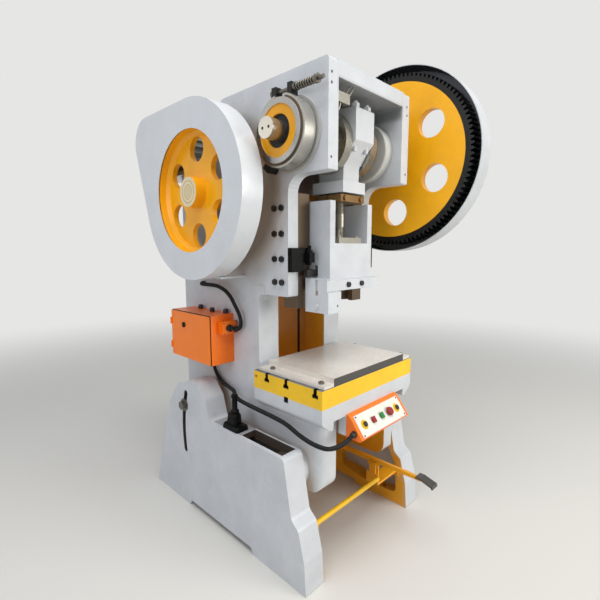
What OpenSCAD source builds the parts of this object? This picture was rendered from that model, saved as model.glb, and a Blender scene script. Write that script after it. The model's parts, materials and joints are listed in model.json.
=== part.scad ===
// Open-back inclinable stamping press with a C-shaped frame, crank, connecting rod and slide.
// Floor at z = 0, front towards -Y, left side (flywheel and control box) towards -X.
// The origin is the centre of the four floor bolts. Forward and back places inside the modules
// are measured from the slide's centre line, which lies slide_y from the origin.

/* [Bed and frame] */
// Width of the bed, side to side
bed_w = 700; // [660:1:720]
// Depth of the bed, front to back
bed_d = 422; // [400:1:440]
// Height of the bed's top above the floor
bed_top_z = 838; // [820:1:850]
// Height of the thick block at the top of the bed
bed_block_h = 148; // [130:1:160]
// Width over the frame's two side walls
frame_w = 592; // [580:1:600]
// Thickness of each side wall
cheek_t = 60; // [50:1:64]
// Distance of the head's front face ahead of the slide's centre line
head_front = 184; // [175:1:200]
// Height of the top of the head
head_top_z = 2117; // [2100:1:2160]
// Height of the underside of the head at the front
head_bottom_z = 1705; // [1695:1:1715]
// Height of the top of the throat
throat_top_z = 1190; // [1180:1:1200]
// Distance of the throat's back behind the slide's centre line
throat_y = 234; // [225:1:245]
// Width of each post beside the throat
post_w = 126; // [110:1:135]
// Distance of the column's back behind the slide's centre line
column_y = 892; // [880:1:910]
// Height of the frame's lowest face
frame_low_z = 340; // [335:1:350]

/* [Bolster] */
// Thickness of the bolster plate
bolster_t = 36; // [30:1:45]
// Width of the bolster's working face
bolster_w = 546; // [520:1:560]
// Depth of the bolster, front to back
bolster_d = 400; // [380:1:415]
// Thickness of the bolting ledges at its two sides
ledge_t = 15; // [12:1:20]

/* [Crank and slide] */
// Height of the crank's axis
crank_z = 1861; // [1855:1:1868]
// Throw of the crank, half of the stroke
throw = 50; // [40:1:52]
// Radius of the crank's main journals
journal_r = 70; // [64:1:72]
// Radius of the crank pin
pin_r = 72; // [66:1:74]
// Width of the connecting rod's big end
rod_w = 134; // [128:1:136]
// Half depth of the connecting rod's big end
rod_half_d = 143; // [138:1:146]
// Width of the slide
slide_w = 312; // [304:1:314]
// Distance of the slide's front ahead of its centre line
slide_front = 80; // [76:1:84]
// Height of the slide's bottom with the crank at the top
slide_low_z = 1215; // [1208:1:1222]
// Height of the slide's top with the crank at the top
slide_top_z = 1608; // [1606:1:1612]
// Radius of the hole for the die's shank
shank_r = 25; // [15:1:28]
// Depth of the hole for the die's shank
shank_depth = 60; // [50:1:60]
// Radius of the ball on the adjusting screw
ball_r = 38; // [36:1:39]
// Radius of the adjusting screw
screw_r = 28; // [24:1:29]

/* [Gears and wheels] */
// Module of the bull gear and its pinion
gear_module = 8; // [7.9:0.05:8.1]
// Teeth of the bull gear
gear_teeth = 108; // [106:1:110]
// Teeth of the pinion
pinion_teeth = 17; // [16:1:18]
// Width of the gear's teeth
gear_face = 96; // [80:1:98]
// Place of the gear's inner face, from the middle of the press
gear_x = 452; // [448:1:456]
// Radius of the holes in the gear's web
gear_hole_r = 70; // [60:1:74]
// Slope of the line from crank to back shaft, below level, in degrees
shaft_slope = 24.2; // [23:0.1:25]
// Outer radius of the flywheel
wheel_r = 374; // [366:1:378]
// Width of the flywheel's rim
wheel_w = 85; // [80:1:88]
// Radius of the holes in the flywheel's web
wheel_hole_r = 56; // [48:1:58]
// Pitch radius of the motor pulley
pulley_r = 72; // [68:1:78]
// Gap between the flywheel's rim and the motor pulley's pitch circle
pulley_gap = 23.8; // [18:0.1:30]
// Height of the motor's axis above the back shaft
motor_rise = 279; // [270:1:285]
// Width of the gap round each turning shaft
fit = 0.05; // [0.03:0.01:0.08]

/* [Guards] */
// Gap between the flywheel's rim and the belt guard
guard_gap = 26; // [20:1:32]
// Radius of the belt guard's small end
guard_small_r = 120; // [116:1:124]
// Radius of the belt guard's round opening
guard_open_r = 272; // [262:1:280]
// Depth of the belt guard
guard_d = 107; // [102:1:112]
// Radius of the ring guard round the bull gear
ring_guard_r = 476; // [472:1:482]

/* [Legs] */
// Width over the feet of both legs
legs_w = 902; // [890:2:920]
// Gap between the two legs
legs_gap = 680; // [676:2:684]
// Height of the leg's flat top
leg_top_z = 545; // [535:1:550]
// Height of the leg's hump at the back
leg_hump_z = 722; // [715:1:725]
// Thickness of the leg's outer wall
leg_wall = 24; // [18:1:30]
// Distance between the floor bolts of one leg
bolt_pitch_y = 890; // [880:1:900]
// Radius of the floor bolt holes
floor_hole_r = 13; // [10:1:16]
// Radius of the tilt pivot pins
tilt_pin_r = 35; // [30:1:40]

/* [Hidden] */
$fn = 72;

// Place of the slide's centre line, from the middle of the floor bolts
slide_y = 45 - bolt_pitch_y / 2;
frame_x = frame_w / 2;
wall_x = frame_x - cheek_t;
leg_x = legs_gap / 2;
leg_out = legs_w / 2;
pin_z = crank_z + throw;
bed_x = bed_w / 2;
bed_front = -208;
bed_back = bed_front + bed_d;
bed_low_z = bed_top_z - bed_block_h;
centre_d = gear_module * (gear_teeth + pinion_teeth) / 2;
shaft_y = centre_d * cos(shaft_slope);
shaft_z = crank_z - centre_d * sin(shaft_slope);
belt_d = wheel_r + pulley_r + pulley_gap;
motor_y = shaft_y + round(sqrt(belt_d * belt_d - motor_rise * motor_rise));
motor_z = shaft_z + motor_rise;
plate_low = 1783;
plate_top = plate_low + 20;
foot_y = 96;
guard_r = wheel_r + guard_gap;
ledge_x = bolster_w / 2 + 62;
bolt_x = bolster_w / 2 + 39;
belt_x = [for (i = [0:3]) -500 + 19.5 * i];
rim_x = belt_x[0] - 13;
pivot = [0, 430];
clamp_r = 695;
clamp_a = 11.5;
ball_z = slide_low_z + 169;
slot_y = [-170, 0, 125];
box_front = 438;
box_back = 804;
box_low = 825;
box_top = 1075;
lock_z = box_low + 0.72 * (box_top - box_low);
isolator_z = box_top - 62;
panel_tilt = 52.6;
panel_mid = [-258.5, 645.5];
pad_y = -390;
pedal_x = 150;
pedal_pivot = [-131, 300];
rod_y = 464;
rod_x = 205;
trip_pivot = [374, 1560];

function xy(p) = [p[0], p[1]];

// Profile of the four belt grooves, from the rim's radius down to the floor's
function grooves(rim, low) = [for (x = belt_x) each [
    [rim, x - 7.5], [low, x - 4.5], [low, x + 4.5], [rim, x + 7.5]]];

// Points that round one corner of an outline
function arc_corner(a, b, c, r, n = 6) = r <= 0 ? [b] : let(
    u = (a - b) / norm(a - b), v = (c - b) / norm(c - b), half = acos(u * v) / 2,
    d = r / tan(half), p = b + u * d, q = b + v * d, w = (u + v) / norm(u + v),
    m = b + w * (r / sin(half)), a0 = atan2(p.y - m.y, p.x - m.x),
    a1 = atan2(q.y - m.y, q.x - m.x), sw = ((a1 - a0 + 540) % 360) - 180)
    [for (i = [0:n]) m + r * [cos(a0 + sw * i / n), sin(a0 + sw * i / n)]];

// Outline from points with a corner radius each
function rounded(p) = [for (i = [0:len(p) - 1]) each arc_corner(
    xy(p[(i + len(p) - 1) % len(p)]), xy(p[i]), xy(p[(i + 1) % len(p)]), p[i][2])];

function involute(a) = tan(a) * 180 / PI - a;

// Half the angle of a tooth at radius r, with a little play
function tooth_half(n, r) = let(
    rp = gear_module * n / 2, rb = rp * cos(20), a = acos(min(1, rb / max(r, rb))))
    90 / n - 0.2 / rp * 180 / PI + involute(20) - involute(a);

// Outline of a toothed wheel with its first tooth at angle turn
function toothed(n, turn) = let(
    rp = gear_module * n / 2, lo = rp - 1.25 * gear_module, hi = rp + gear_module,
    steps = [lo, rp - 0.5 * gear_module, rp - 0.1 * gear_module, rp + 0.45 * gear_module, hi])
    [for (i = [0:n - 1]) each concat(
        [for (r = steps) r * [cos(turn + 360 * i / n - tooth_half(n, r)),
            sin(turn + 360 * i / n - tooth_half(n, r))]],
        [for (k = [4:-1:0]) let(r = steps[k]) r * [cos(turn + 360 * i / n + tooth_half(n, r)),
            sin(turn + 360 * i / n + tooth_half(n, r))]])];

// Everything is drawn from the slide's centre line and moved to the frame here
module place() {
    translate([0, slide_y, 0]) children();
}

// A plate from x0 to x1 whose outline is drawn in (y, z)
module slab(x0, x1) {
    translate([x0, 0, 0]) rotate([90, 0, 90]) linear_extrude(x1 - x0) children();
}

// A bar from y0 to y1 whose outline is drawn in (x, z)
module along(y0, y1) {
    translate([0, y1, 0]) rotate([90, 0, 0]) linear_extrude(y1 - y0) children();
}

module box(x, y, z) {
    translate([x[0], y[0], z[0]]) cube([x[1] - x[0], y[1] - y[0], z[1] - z[0]]);
}

// Round bars along x, y and z
module xcyl(r, x, y, z) {
    translate([x[0], y, z]) rotate([0, 90, 0]) cylinder(r = r, h = x[1] - x[0]);
}

module ycyl(r, x, y, z) {
    translate([x, y[0], z]) rotate([-90, 0, 0]) cylinder(r = r, h = y[1] - y[0]);
}

module zcyl(r, x, y, z) {
    translate([x, y, z[0]]) cylinder(r = r, h = z[1] - z[0]);
}

// A turned part about a line along x, its outline given as (radius, x)
module turned(y, z, outline) {
    translate([0, y, z]) rotate([0, 90, 0]) rotate_extrude($fn = 144) polygon(outline);
}

module both_sides() {
    children();
    mirror([1, 0, 0]) children();
}

// Round bar between two points
module bar(a, b, r) {
    d = b - a;
    translate(a) rotate([0, acos(d.z / norm(d)), atan2(d.y, d.x)]) cylinder(r = r, h = norm(d));
}

// Point of a smooth curve between b and c
function curve(a, b, c, d, t) = 0.5 * (2 * b + (c - a) * t + (2 * a - 5 * b + 4 * c - d) * t * t
    + (3 * b - a - 3 * c + d) * t * t * t);

// A smooth curve through points
function smooth(p, n = 3) = concat([for (i = [0:len(p) - 2]) for (k = [0:n - 1]) curve(
    p[max(i - 1, 0)], p[i], p[i + 1], p[min(i + 2, len(p) - 1)], k / n)], [p[len(p) - 1]]);

// Sideways directions carried along a curve without twist
function carry(t, u, i = 0) = i >= len(t) ? [] : let(v = u - (u * t[i]) * t[i], w = v / norm(v))
    concat([w], carry(t, w, i + 1));

// A bent hose through a list of points
module hose(p, r, sides = 14) {
    c = smooth(p);
    last = len(c) - 1;
    t = [for (i = [0:last]) let(d = c[min(i + 1, last)] - c[max(i - 1, 0)]) d / norm(d)];
    u = carry(t, cross(t[0], [0.2, 0.3, 1]));
    n = sides;
    polyhedron(
        points = [for (i = [0:last]) for (k = [0:n - 1])
            c[i] + r * (cos(360 * k / n) * u[i] + sin(360 * k / n) * cross(t[i], u[i]))],
        faces = concat(
            [[for (k = [0:n - 1]) k]],
            [for (i = [0:last - 1]) for (k = [0:n - 1]) [i * n + k, (i + 1) * n + k,
                i * n + (k + 1) % n]],
            [for (i = [0:last - 1]) for (k = [0:n - 1])
                [i * n + (k + 1) % n, (i + 1) * n + k, (i + 1) * n + (k + 1) % n]],
            [[for (k = [n - 1:-1:0]) last * n + k]]
        )
    );
}

// Two circles joined by their outer tangents
module two_lobes(c1, r1, c2, r2) {
    d = norm(c2 - c1);
    a = atan2(c2.y - c1.y, c2.x - c1.x);
    b = acos((r1 - r2) / d);
    translate(c1) circle(r = r1, $fn = 144);
    translate(c2) circle(r = r2, $fn = 96);
    polygon([
        c1 + r1 * [cos(a + b), sin(a + b)], c1 + r1 * [cos(a - b), sin(a - b)],
        c2 + r2 * [cos(a - b), sin(a - b)], c2 + r2 * [cos(a + b), sin(a + b)]
    ]);
}

// Stand
module leg_outline(inset = 0) {
    i = inset;
    polygon(rounded([
        [-215 + i, i, 4], [-205 + i, 140, 20], [-172 + i, 268, 25], [-132 + i, 300, 30],
        [-86 + i, leg_top_z - i, 20], [446 - i * 0.4, leg_top_z - i, 25],
        [480 + i * 0.5, 650 - i * 0.8, 60], [548, leg_hump_z - i, 40], [625, 716 - i, 60],
        [748 - i * 0.6, 672 - i, 50], [845 - i, 545 - i * 0.3, 40], [950 - i, 274, 30],
        [1008 - i, 61, 10], [1025 - i, i, 4]
    ]));
}

module slot_arc(half, a0, a1, n = 16) {
    polygon(concat(
        [for (k = [0:n]) pivot + (clamp_r + half) * [cos(a0 + (a1 - a0) * k / n),
            sin(a0 + (a1 - a0) * k / n)]],
        [for (k = [n:-1:0]) pivot + (clamp_r - half) * [cos(a0 + (a1 - a0) * k / n),
            sin(a0 + (a1 - a0) * k / n)]]
    ));
    translate(pivot + clamp_r * [cos(a0), sin(a0)]) circle(r = half);
    translate(pivot + clamp_r * [cos(a1), sin(a1)]) circle(r = half);
}

module leg() {
    inner_skin = 12;
    difference() {
        slab(leg_x, leg_out) difference() {
            leg_outline();
            polygon(rounded([[119, -1, 0], [134, 30, 12], [645, 30, 12], [660, -1, 0]]));
        }
        // hollow between the two skins
        slab(leg_x + inner_skin, leg_out - leg_wall) difference() {
            leg_outline(30);
            translate([-300, -10]) square([1400, 50]);
            translate([110, -10]) square([560, 80]);
            translate(pivot) circle(r = 78);
            slot_arc(46, -10, 17.5);
            translate([262, 40]) square([24, 520]);
        }
        // openings in the inner skin
        slab(leg_x - 1, leg_x + inner_skin + 1) {
            polygon(rounded([[-150, 60, 30], [-140, 230, 40], [-90, 320, 30], [230, 320, 40],
                [230, 90, 40], [90, 60, 20]]));
            polygon(rounded([[318, 100, 40], [318, 470, 50], [560, 470, 60], [590, 290, 60],
                [640, 100, 40]]));
            polygon(rounded([[700, 60, 30], [740, 250, 40], [870, 250, 40], [940, 60, 30]]));
        }
        // pocket in the flat top
        box([leg_x + 10, leg_out - 19], [-60, 212], [leg_top_z - 40, leg_top_z + 1]);
        slab(leg_x - 1, leg_out + 1) slot_arc(16, -9.5, 17.3);
        xcyl(tilt_pin_r, [leg_x - 1, leg_out + 1], pivot.x, pivot.y);
        for (y = [-45, bolt_pitch_y - 45]) {
            zcyl(floor_hole_r, leg_x + 55, y, [-1, 60]);
        }
    }
}

module right_leg() {
    color("#bdbab0") place() leg();
}

module left_leg() {
    color("#bdbab0") place() mirror([1, 0, 0]) leg();
}

module tilt_pins() {
    color("#55534e") place() both_sides() {
        xcyl(tilt_pin_r - fit, [wall_x, leg_out - 1], pivot.x, pivot.y);
    }
}

module stay_rods() {
    color("#e5b321") place() {
        xcyl(11, [-leg_x, pedal_x - 9], -160, 236);
        xcyl(18, [-leg_x, -leg_x + 8], -160, 236);
        xcyl(16, [-leg_x, leg_x], 300, 60);
        xcyl(16, [-leg_x, leg_x], 668, 120);
    }
}

module pedal_bracket() {
    color("#35332f") place() difference() {
        union() {
            box([pedal_x - 17, leg_x], [-166, -96], [204, 216]);
            box([leg_x - 12, leg_x], [-166, -96], [170, 216]);
            box([pedal_x - 17, pedal_x - 9], [-166, -96], [204, 262]);
            box([pedal_x + 9, pedal_x + 17], [-150, -112], [204, 318]);
            box([pedal_x - 17, pedal_x - 9], [-150, -112], [204, 318]);
            xcyl(8 - fit, [pedal_x - 21, pedal_x + 21], pedal_pivot.x, pedal_pivot.y);
        }
        xcyl(11, [pedal_x - 18, pedal_x - 8], -160, 236);
    }
}

module tilt_stop() {
    color("#26282b") place() {
        box([-425, -385], [262, 330], [leg_top_z, leg_top_z + 12]);
        box([-418, -392], [280, 312], [leg_top_z, leg_top_z + 52]);
        zcyl(9, -405, 296, [leg_top_z + 20, leg_top_z + 132]);
        zcyl(15, -405, 296, [leg_top_z + 52, leg_top_z + 64]);
    }
}

// Pedal
module pedal_lever() {
    color("#35332f") place() {
        difference() {
            union() {
                slab(pedal_x - 8, pedal_x + 8) polygon(rounded([
                    [pad_y - 4, 318, 4], [pad_y - 4, 334, 0], [-352, 334, 0], [-330, 336, 8],
                        [rod_y + 18, 336, 8],
                    [rod_y + 18, 314, 8], [-90, 314, 4], [-112, 286, 8], [-150, 286, 8], [-172, 316, 4]
                ]));
                xcyl(13, [pedal_x, rod_x - 9], rod_y, 325);
            }
            xcyl(8, [pedal_x - 20, pedal_x + 20], pedal_pivot.x, pedal_pivot.y);
        }
    }
}

module pedal_pad() {
    color("#7b6a45") place() difference() {
        slab(pedal_x - 24, pedal_x + 24) polygon(rounded([
            [-372, 334, 0], [-372, 342, 2], [-396, 342, 2], [-458, 325, 3], [-462, 311, 3],
                [-455, 309, 2], [-451, 317, 3],
            [-396, 334, 0]
        ]));
        for (i = [0:4]) {
            translate([pedal_x, -448 + 11.5 * i, 327.7 + 3.15 * i]) rotate([15.3, 0, 0]) cube([42,
                3, 3], center = true);
        }
    }
}

// Press frame
module cheek_outline() {
    polygon(rounded([
        [-head_front, head_bottom_z, 6], [-head_front, head_top_z, 14], [515, head_top_z, 60],
            [642, 1783, 45],
        [column_y, 1783, 12], [column_y, 470, 80], [790, frame_low_z, 70], [-156, frame_low_z, 60],
        [-156, bed_top_z, 0], [throat_y, bed_top_z, 38], [throat_y, throat_top_z, 34],
            [36, throat_top_z, 8],
        [36, head_bottom_z, 70]
    ]));
}

module frame_solid() {
    both_sides() {
        slab(wall_x, frame_x) cheek_outline();
        // thick front edge of the lower body
        slab(194, frame_x) polygon(rounded([
            [-156, frame_low_z, 60], [-156, bed_top_z - 10, 0], [120, bed_top_z - 10, 0],
                [120, frame_low_z, 30]
        ]));
        // post beside the throat
        slab(frame_x + 4 - post_w, frame_x + 4) polygon(rounded([
            [throat_y - 30, bed_top_z - 60, 0], [throat_y - 30, bed_top_z, 0], [throat_y, bed_top_z, 38],
            [throat_y, throat_top_z, 34], [throat_y - 40, throat_top_z, 0],
                [throat_y - 40, throat_top_z + 40, 0],
            [throat_y + 28, throat_top_z + 40, 0], [throat_y + 28, bed_top_z - 60, 0]
        ]));
        box([frame_x + 4 - post_w, wall_x + 10], [throat_y + 10, throat_y + 143],
            [bed_top_z - 120, throat_top_z + 40]);
        // bosses for the tilt pins and the clamp bolts
        xcyl(92, [frame_x - 10, leg_x - 0.5], pivot.x, pivot.y);
        xcyl(52, [frame_x - 10, leg_x - 0.5], clamp_r * cos(clamp_a), pivot.y + clamp_r * sin(clamp_a));
        // guides of the push rod and pivot of the trip lever
        box([rod_x - 14, wall_x + 5], [rod_y - 14, rod_y + 14], [700, 716]);
    }
    xcyl(10, [rod_x + 9, wall_x + 5], trip_pivot.x, trip_pivot.y);
    // top, slope and rear walls
    box([-wall_x - 5, wall_x + 5], [-head_front + 0.4, 470], [2053, head_top_z - 0.4]);
    slab(-wall_x - 5, wall_x + 5) polygon([[440, 2053], [440, head_top_z - 1],
        [498, head_top_z - 1], [622, 1782], [850, 1782], [850, 1748], [600, 1748], [485, 2053]]);
    box([-wall_x - 5, wall_x + 5], [throat_y, throat_y + 40], [throat_top_z, 1640]);
    box([-wall_x - 5, wall_x + 5], [column_y - 32, column_y - 2], [1250, 1782]);
    box([-wall_x - 5, wall_x + 5], [column_y - 32, column_y - 2], [560, 800]);
    // bed block with its overhang
    along(bed_front, bed_back) polygon(rounded([
        [-bed_x, bed_top_z, 0], [bed_x, bed_top_z, 0], [bed_x, bed_low_z + 4, 26],
            [frame_x + 2, bed_low_z - 36, 20],
        [frame_x - 20, bed_low_z - 36, 0], [frame_x - 20, bed_low_z, 0], [-frame_x + 20, bed_low_z, 0],
        [-frame_x + 20, bed_low_z - 36, 0], [-frame_x - 2, bed_low_z - 36, 20],
            [-bed_x, bed_low_z + 4, 26]
    ]));
    // apron behind the push buttons
    box([-195, 195], [bed_front, -170], [600, bed_low_z + 1]);
}

// Cutter that rounds an upright edge at (x, y)
module round_edge(x, y, r, z) {
    difference() {
        box([x - r, x + 1], [y - 1, y + r], z);
        zcyl(r, x - r, y + r, [z[0] - 1, z[1] + 1]);
    }
}

module c_frame() {
    color("#c9c6bc") place() difference() {
        frame_solid();
        both_sides() {
            xcyl(136, [wall_x - 10, frame_x + 10], 0, crank_z);
            xcyl(60, [wall_x - 10, frame_x + 10], shaft_y, shaft_z);
            xcyl(tilt_pin_r, [190, leg_x], pivot.x, pivot.y);
            xcyl(14, [wall_x - 6, leg_x], clamp_r * cos(clamp_a), pivot.y + clamp_r * sin(clamp_a));
            for (z = [1253, 1355, 1465, 1575]) {
                for (y = [74, 119]) {
                    xcyl(8, [wall_x - 6, frame_x + 2], y, z);
                }
            }
            zcyl(7.3, rod_x, rod_y, [690, 730]);
            // tapped holes beside the crank opening
            for (z = [head_bottom_z + 47, 2022, 2060]) {
                ycyl(6, 277, [-head_front - 1, -head_front + 22], z);
            }
            xcyl(8, [bed_x - 34, bed_x + 1], 200, bed_top_z - 27);
            round_edge(frame_x, -156, 45, [frame_low_z - 1, bed_low_z - 35]);
        }
        // slots for holding-down bolts in the bed
        for (y = slot_y) {
            box([-bed_x - 1, bed_x + 1], [y - 9, y + 9], [bed_top_z - 24, bed_top_z + 1]);
            box([-bed_x - 1, bed_x + 1], [y - 16, y + 16], [bed_top_z - 38, bed_top_z - 22]);
        }
        // lifting hole in the bed's sides
        both_sides() box([bed_x - 60, bed_x + 1], [-13, 13], [736, 762]);
    }
}

module bolster_plate() {
    color("#b9bcbd") place() difference() {
        union() {
            box([-bolster_w / 2, bolster_w / 2], [-206, bolster_d - 206],
                [bed_top_z, bed_top_z + bolster_t]);
            box([-ledge_x, ledge_x], [-206, bolster_d - 206], [bed_top_z, bed_top_z + ledge_t]);
        }
        for (x = [-bolt_x, bolt_x]) {
            for (y = [slot_y[0], slot_y[2]]) {
                zcyl(9, x, y, [bed_top_z - 1, bed_top_z + ledge_t + 1]);
            }
        }
    }
}

module bolster_bolts() {
    color("#3b3c3d") place() for (x = [-bolt_x, bolt_x]) {
        for (y = [slot_y[0], slot_y[2]]) {
            zcyl(8, x, y, [bed_top_z - 30, bed_top_z + ledge_t + 11]);
            translate([x, y, bed_top_z + ledge_t]) cylinder(r = 13, h = 8, $fn = 6);
            box([x - 14, x + 14], [y - 14, y + 14], [bed_top_z - 36, bed_top_z - 25]);
        }
    }
}

module gibs() {
    g = 0.1;
    color("#8a7a66") place() both_sides() difference() {
        translate([0, 0, 1133]) linear_extrude(507) polygon([
            [slide_w / 2 + 8, 36], [wall_x, 36], [wall_x, 126], [slide_w / 2 + 8, 126],
            [slide_w / 2 + 8, 101 + g], [190 + g, 86 + g], [190 + g, 76 - g], [slide_w / 2 + 8, 61 - g]
        ]);
        for (z = [1253, 1355, 1465, 1575]) {
            for (y = [74, 119]) {
                xcyl(8, [208, wall_x + 1], y, z);
            }
        }
    }
}

module gib_screws() {
    color("#3b3c3d") place() both_sides() for (z = [1253, 1355, 1465, 1575]) {
        for (y = [74, 119]) {
            xcyl(7.95, [208.2, frame_x + 1], y, z);
            translate([frame_x, y, z]) rotate([0, 90, 0]) cylinder(r = 14, h = 11, $fn = 6);
        }
    }
}

module crank_bushes() {
    color("#a8834f") place() both_sides() turned(0, crank_z, [
        [journal_r, 180], [journal_r, 306], [150, 306], [150, frame_x], [135.95, frame_x],
            [135.95, 184], [132, 180]
    ]);
}

module brake_band() {
    color("#3b3c3d") place() difference() {
        union() {
            turned(0, crank_z, [[132, -378], [132, -318], [140, -318], [140, -378]]);
            box([-366, -330], [-57, -34], [crank_z + 128, crank_z + 176]);
            box([-366, -330], [30, 56], [crank_z + 128, crank_z + 176]);
            slab(-350, -306.5) translate([0, crank_z]) rotate(-48) translate([138, -18])
                square([40, 36]);
            slab(-310, -frame_x) translate([0, crank_z]) rotate(-48) translate([153, -18])
                square([25, 36]);
        }
        box([-379, -317], [-30, 26], [crank_z + 100, crank_z + 180]);
        xcyl(131.9, [-379, -317], 0, crank_z);
        ycyl(9, -348, [-70, 70], crank_z + 158);
    }
}

module brake_lining() {
    color("#6b5a45") place() difference() {
        turned(0, crank_z, [[124.3, -376], [124.3, -320], [131.9, -320], [131.9, -376]]);
        box([-379, -317], [-30, 26], [crank_z + 100, crank_z + 180]);
    }
}

module brake_spring() {
    z = crank_z + 158;
    color("#2b2c2e") place() {
        ycyl(8, -348, [-205, 74], z);
        ycyl(17, -348, [-70, -57], z);
        ycyl(17, -348, [-180, -168], z);
        ycyl(15, -348, [56, 68], z);
        for (i = [0:7]) {
            translate([-348, -163 + 12.5 * i, z]) rotate([90, 0, 0]) rotate_extrude($fn = 48)
                translate([11.5, 0]) circle(r = 3.6, $fn = 24);
        }
    }
}

module back_shaft_bearings() {
    color("#b3b0a6") place() both_sides() turned(shaft_y, shaft_z, [
        [32, 232], [32, 330], [56, 330], [60, 324], [60, 312], [82, 312], [82, frame_x],
            [59.95, frame_x], [59.95, 232]
    ]);
}

module gear_guard() {
    c1 = [0, crank_z];
    c2 = [shaft_y, shaft_z];
    color("#c2bfb5") place() {
        slab(450, 557) difference() {
            two_lobes(c1, ring_guard_r, c2, 116);
            two_lobes(c1, ring_guard_r - 4, c2, 112);
        }
        slab(553, 557) difference() {
            two_lobes(c1, ring_guard_r - 1, c2, 115);
            translate(c1) circle(r = 400, $fn = 144);
        }
        // straps to the frame
        box([frame_x, 470], [130, 170], [1396, 1404]);
        box([452, 470], [130, 170], [1396, 1411]);
        box([frame_x, 470], [475, 483], [1900, 1940]);
        box([452, 470], [466, 483], [1900, 1940]);
        box([frame_x, 470], [400, 436], [2094, 2102]);
    }
}

module belt_guard() {
    c1 = [shaft_y, shaft_z];
    c2 = [motor_y, motor_z];
    color("#d2cfc6") place() {
        slab(-523, -523 + guard_d) difference() {
            two_lobes(c1, guard_r, c2, guard_small_r);
            two_lobes(c1, guard_r - 3, c2, guard_small_r - 3);
        }
        slab(-523, -520) difference() {
            two_lobes(c1, guard_r - 1, c2, guard_small_r - 1);
            translate(c1) circle(r = guard_open_r, $fn = 144);
        }
        // straps to the frame
        strap_z = shaft_z - sqrt(guard_r * guard_r - 106 * 106);
        box([-440, -frame_x], [shaft_y - 126, shaft_y - 86], [strap_z - 8, strap_z + 2]);
        box([-440, -frame_x], [shaft_y - 20, shaft_y + 20],
            [shaft_z + guard_r - 3, shaft_z + guard_r + 6]);
    }
}

module motor() {
    color("#9a9c98") place() difference() {
        union() {
            xcyl(112, [-372, 10], motor_y, motor_z);
            xcyl(124, [-390, -366], motor_y, motor_z);
            xcyl(122, [0, 84], motor_y, motor_z);
            for (i = [0:23]) {
                translate([0, motor_y, motor_z]) rotate([15 * i, 0, 0]) box([-368, 4], [-2.5, 2.5],
                    [100, 126]);
            }
            for (x = [-330, -90]) {
                box([x, x + 56], [motor_y - foot_y - 14, motor_y + foot_y + 14],
                    [plate_top, plate_top + 14]);
                box([x + 8, x + 48], [motor_y - 86, motor_y + 86], [plate_top + 7, motor_z - 55]);
            }
        }
        xcyl(19, [-391, -340], motor_y, motor_z);
        for (x = [-302, -62]) {
            for (y = [-foot_y, foot_y]) {
                zcyl(7, x, motor_y + y, [plate_top - 3, plate_top + 27]);
            }
        }
    }
}

module motor_plate() {
    color("#c2bfb5") place() difference() {
        box([-380, 60], [676, motor_y + foot_y + 70], [plate_low, plate_top]);
        for (x = [-302, -62]) {
            for (y = [-foot_y, foot_y]) {
                zcyl(7, x, motor_y + y, [plate_low - 3, plate_top + 7]);
            }
        }
    }
}

// One belt's loop from radius a to b about its pitch line
module belt_loop(half, a, b) {
    c1 = [shaft_y, shaft_z];
    c2 = [motor_y, motor_z];
    slab(-half, half) difference() {
        two_lobes(c1, wheel_r - 8 + b, c2, pulley_r + b);
        two_lobes(c1, wheel_r - 8 + a, c2, pulley_r + a);
    }
}

module v_belts() {
    color("#2a2a2b") place() for (x = belt_x) {
        translate([x, 0, 0]) {
            belt_loop(4, -7, -1);
            belt_loop(5.5, -2, 2);
        }
    }
}

module control_box() {
    color("#d9722b") place() difference() {
        box([-432, -frame_x], [box_front, box_back], [box_low, box_top]);
        box([-433, -frame_x - 14], [box_front + 16, box_back - 16], [box_low + 12, box_top - 12]);
    }
}

module isolator_box() {
    color("#d9722b") place() difference() {
        box([-389, -305], [398, box_front], [isolator_z - 31, isolator_z + 32]);
        ycyl(9, -354, [396, 420], isolator_z);
    }
}

module button_box() {
    u = [cos(panel_tilt), sin(panel_tilt)];
    color("#d9722b") place() difference() {
        slab(-190, 190) polygon([
            [bed_front, 592], [bed_front, 696], panel_mid + 58 * u, panel_mid - 54 * u, [-282, 592]
        ]);
        panel_place() for (x = [-130, -65, 0, 60, 128]) {
            translate([x, 0, -34]) cylinder(r = 12, h = 40);
        }
    }
}

// Moves the face of the push-button panel to its place, out along z
module panel_place() {
    translate([0, panel_mid.x, panel_mid.y]) rotate([panel_tilt, 0, 0]) children();
}

module panel_plate() {
    color("#e8e6df") place() panel_place() difference() {
        union() {
            translate([-172, -50, 0]) cube([344, 100, 3]);
            for (x = [-130, 128]) {
                translate([x, 0, 0]) cylinder(r = 17, h = 8);
            }
        }
        for (x = [-130, -65, 0, 60, 128]) {
            translate([x, 0, -1]) cylinder(r = 12, h = 12);
        }
    }
}

module push_button(x, head_r, head_h, square_head) {
    place() panel_place() translate([x, 0, 0]) {
        translate([0, 0, -20]) cylinder(r = 11.7, h = square_head ? 29 : 26);
        if (square_head) {
            translate([-11, -14, 8]) cube([22, 28, head_h]);
        } else {
            translate([0, 0, 5.9]) cylinder(r = head_r, h = head_h);
        }
    }
}

module button_left() {
    color("#1d1e20") push_button(-130, 11.7, 6, false);
}

module button_stop() {
    color("#b3261e") push_button(-65, 11, 5, true);
}

module button_start() {
    color("#2f7d3b") push_button(0, 11, 5, true);
}

module button_emergency() {
    color("#8c2420") push_button(60, 11.7, 8, false);
    color("#8c2420") place() panel_place() translate([60, 0, 12]) cylinder(r1 = 21, r2 = 17, h = 9);
}

module button_right() {
    color("#1d1e20") push_button(128, 11.7, 6, false);
}

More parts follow.
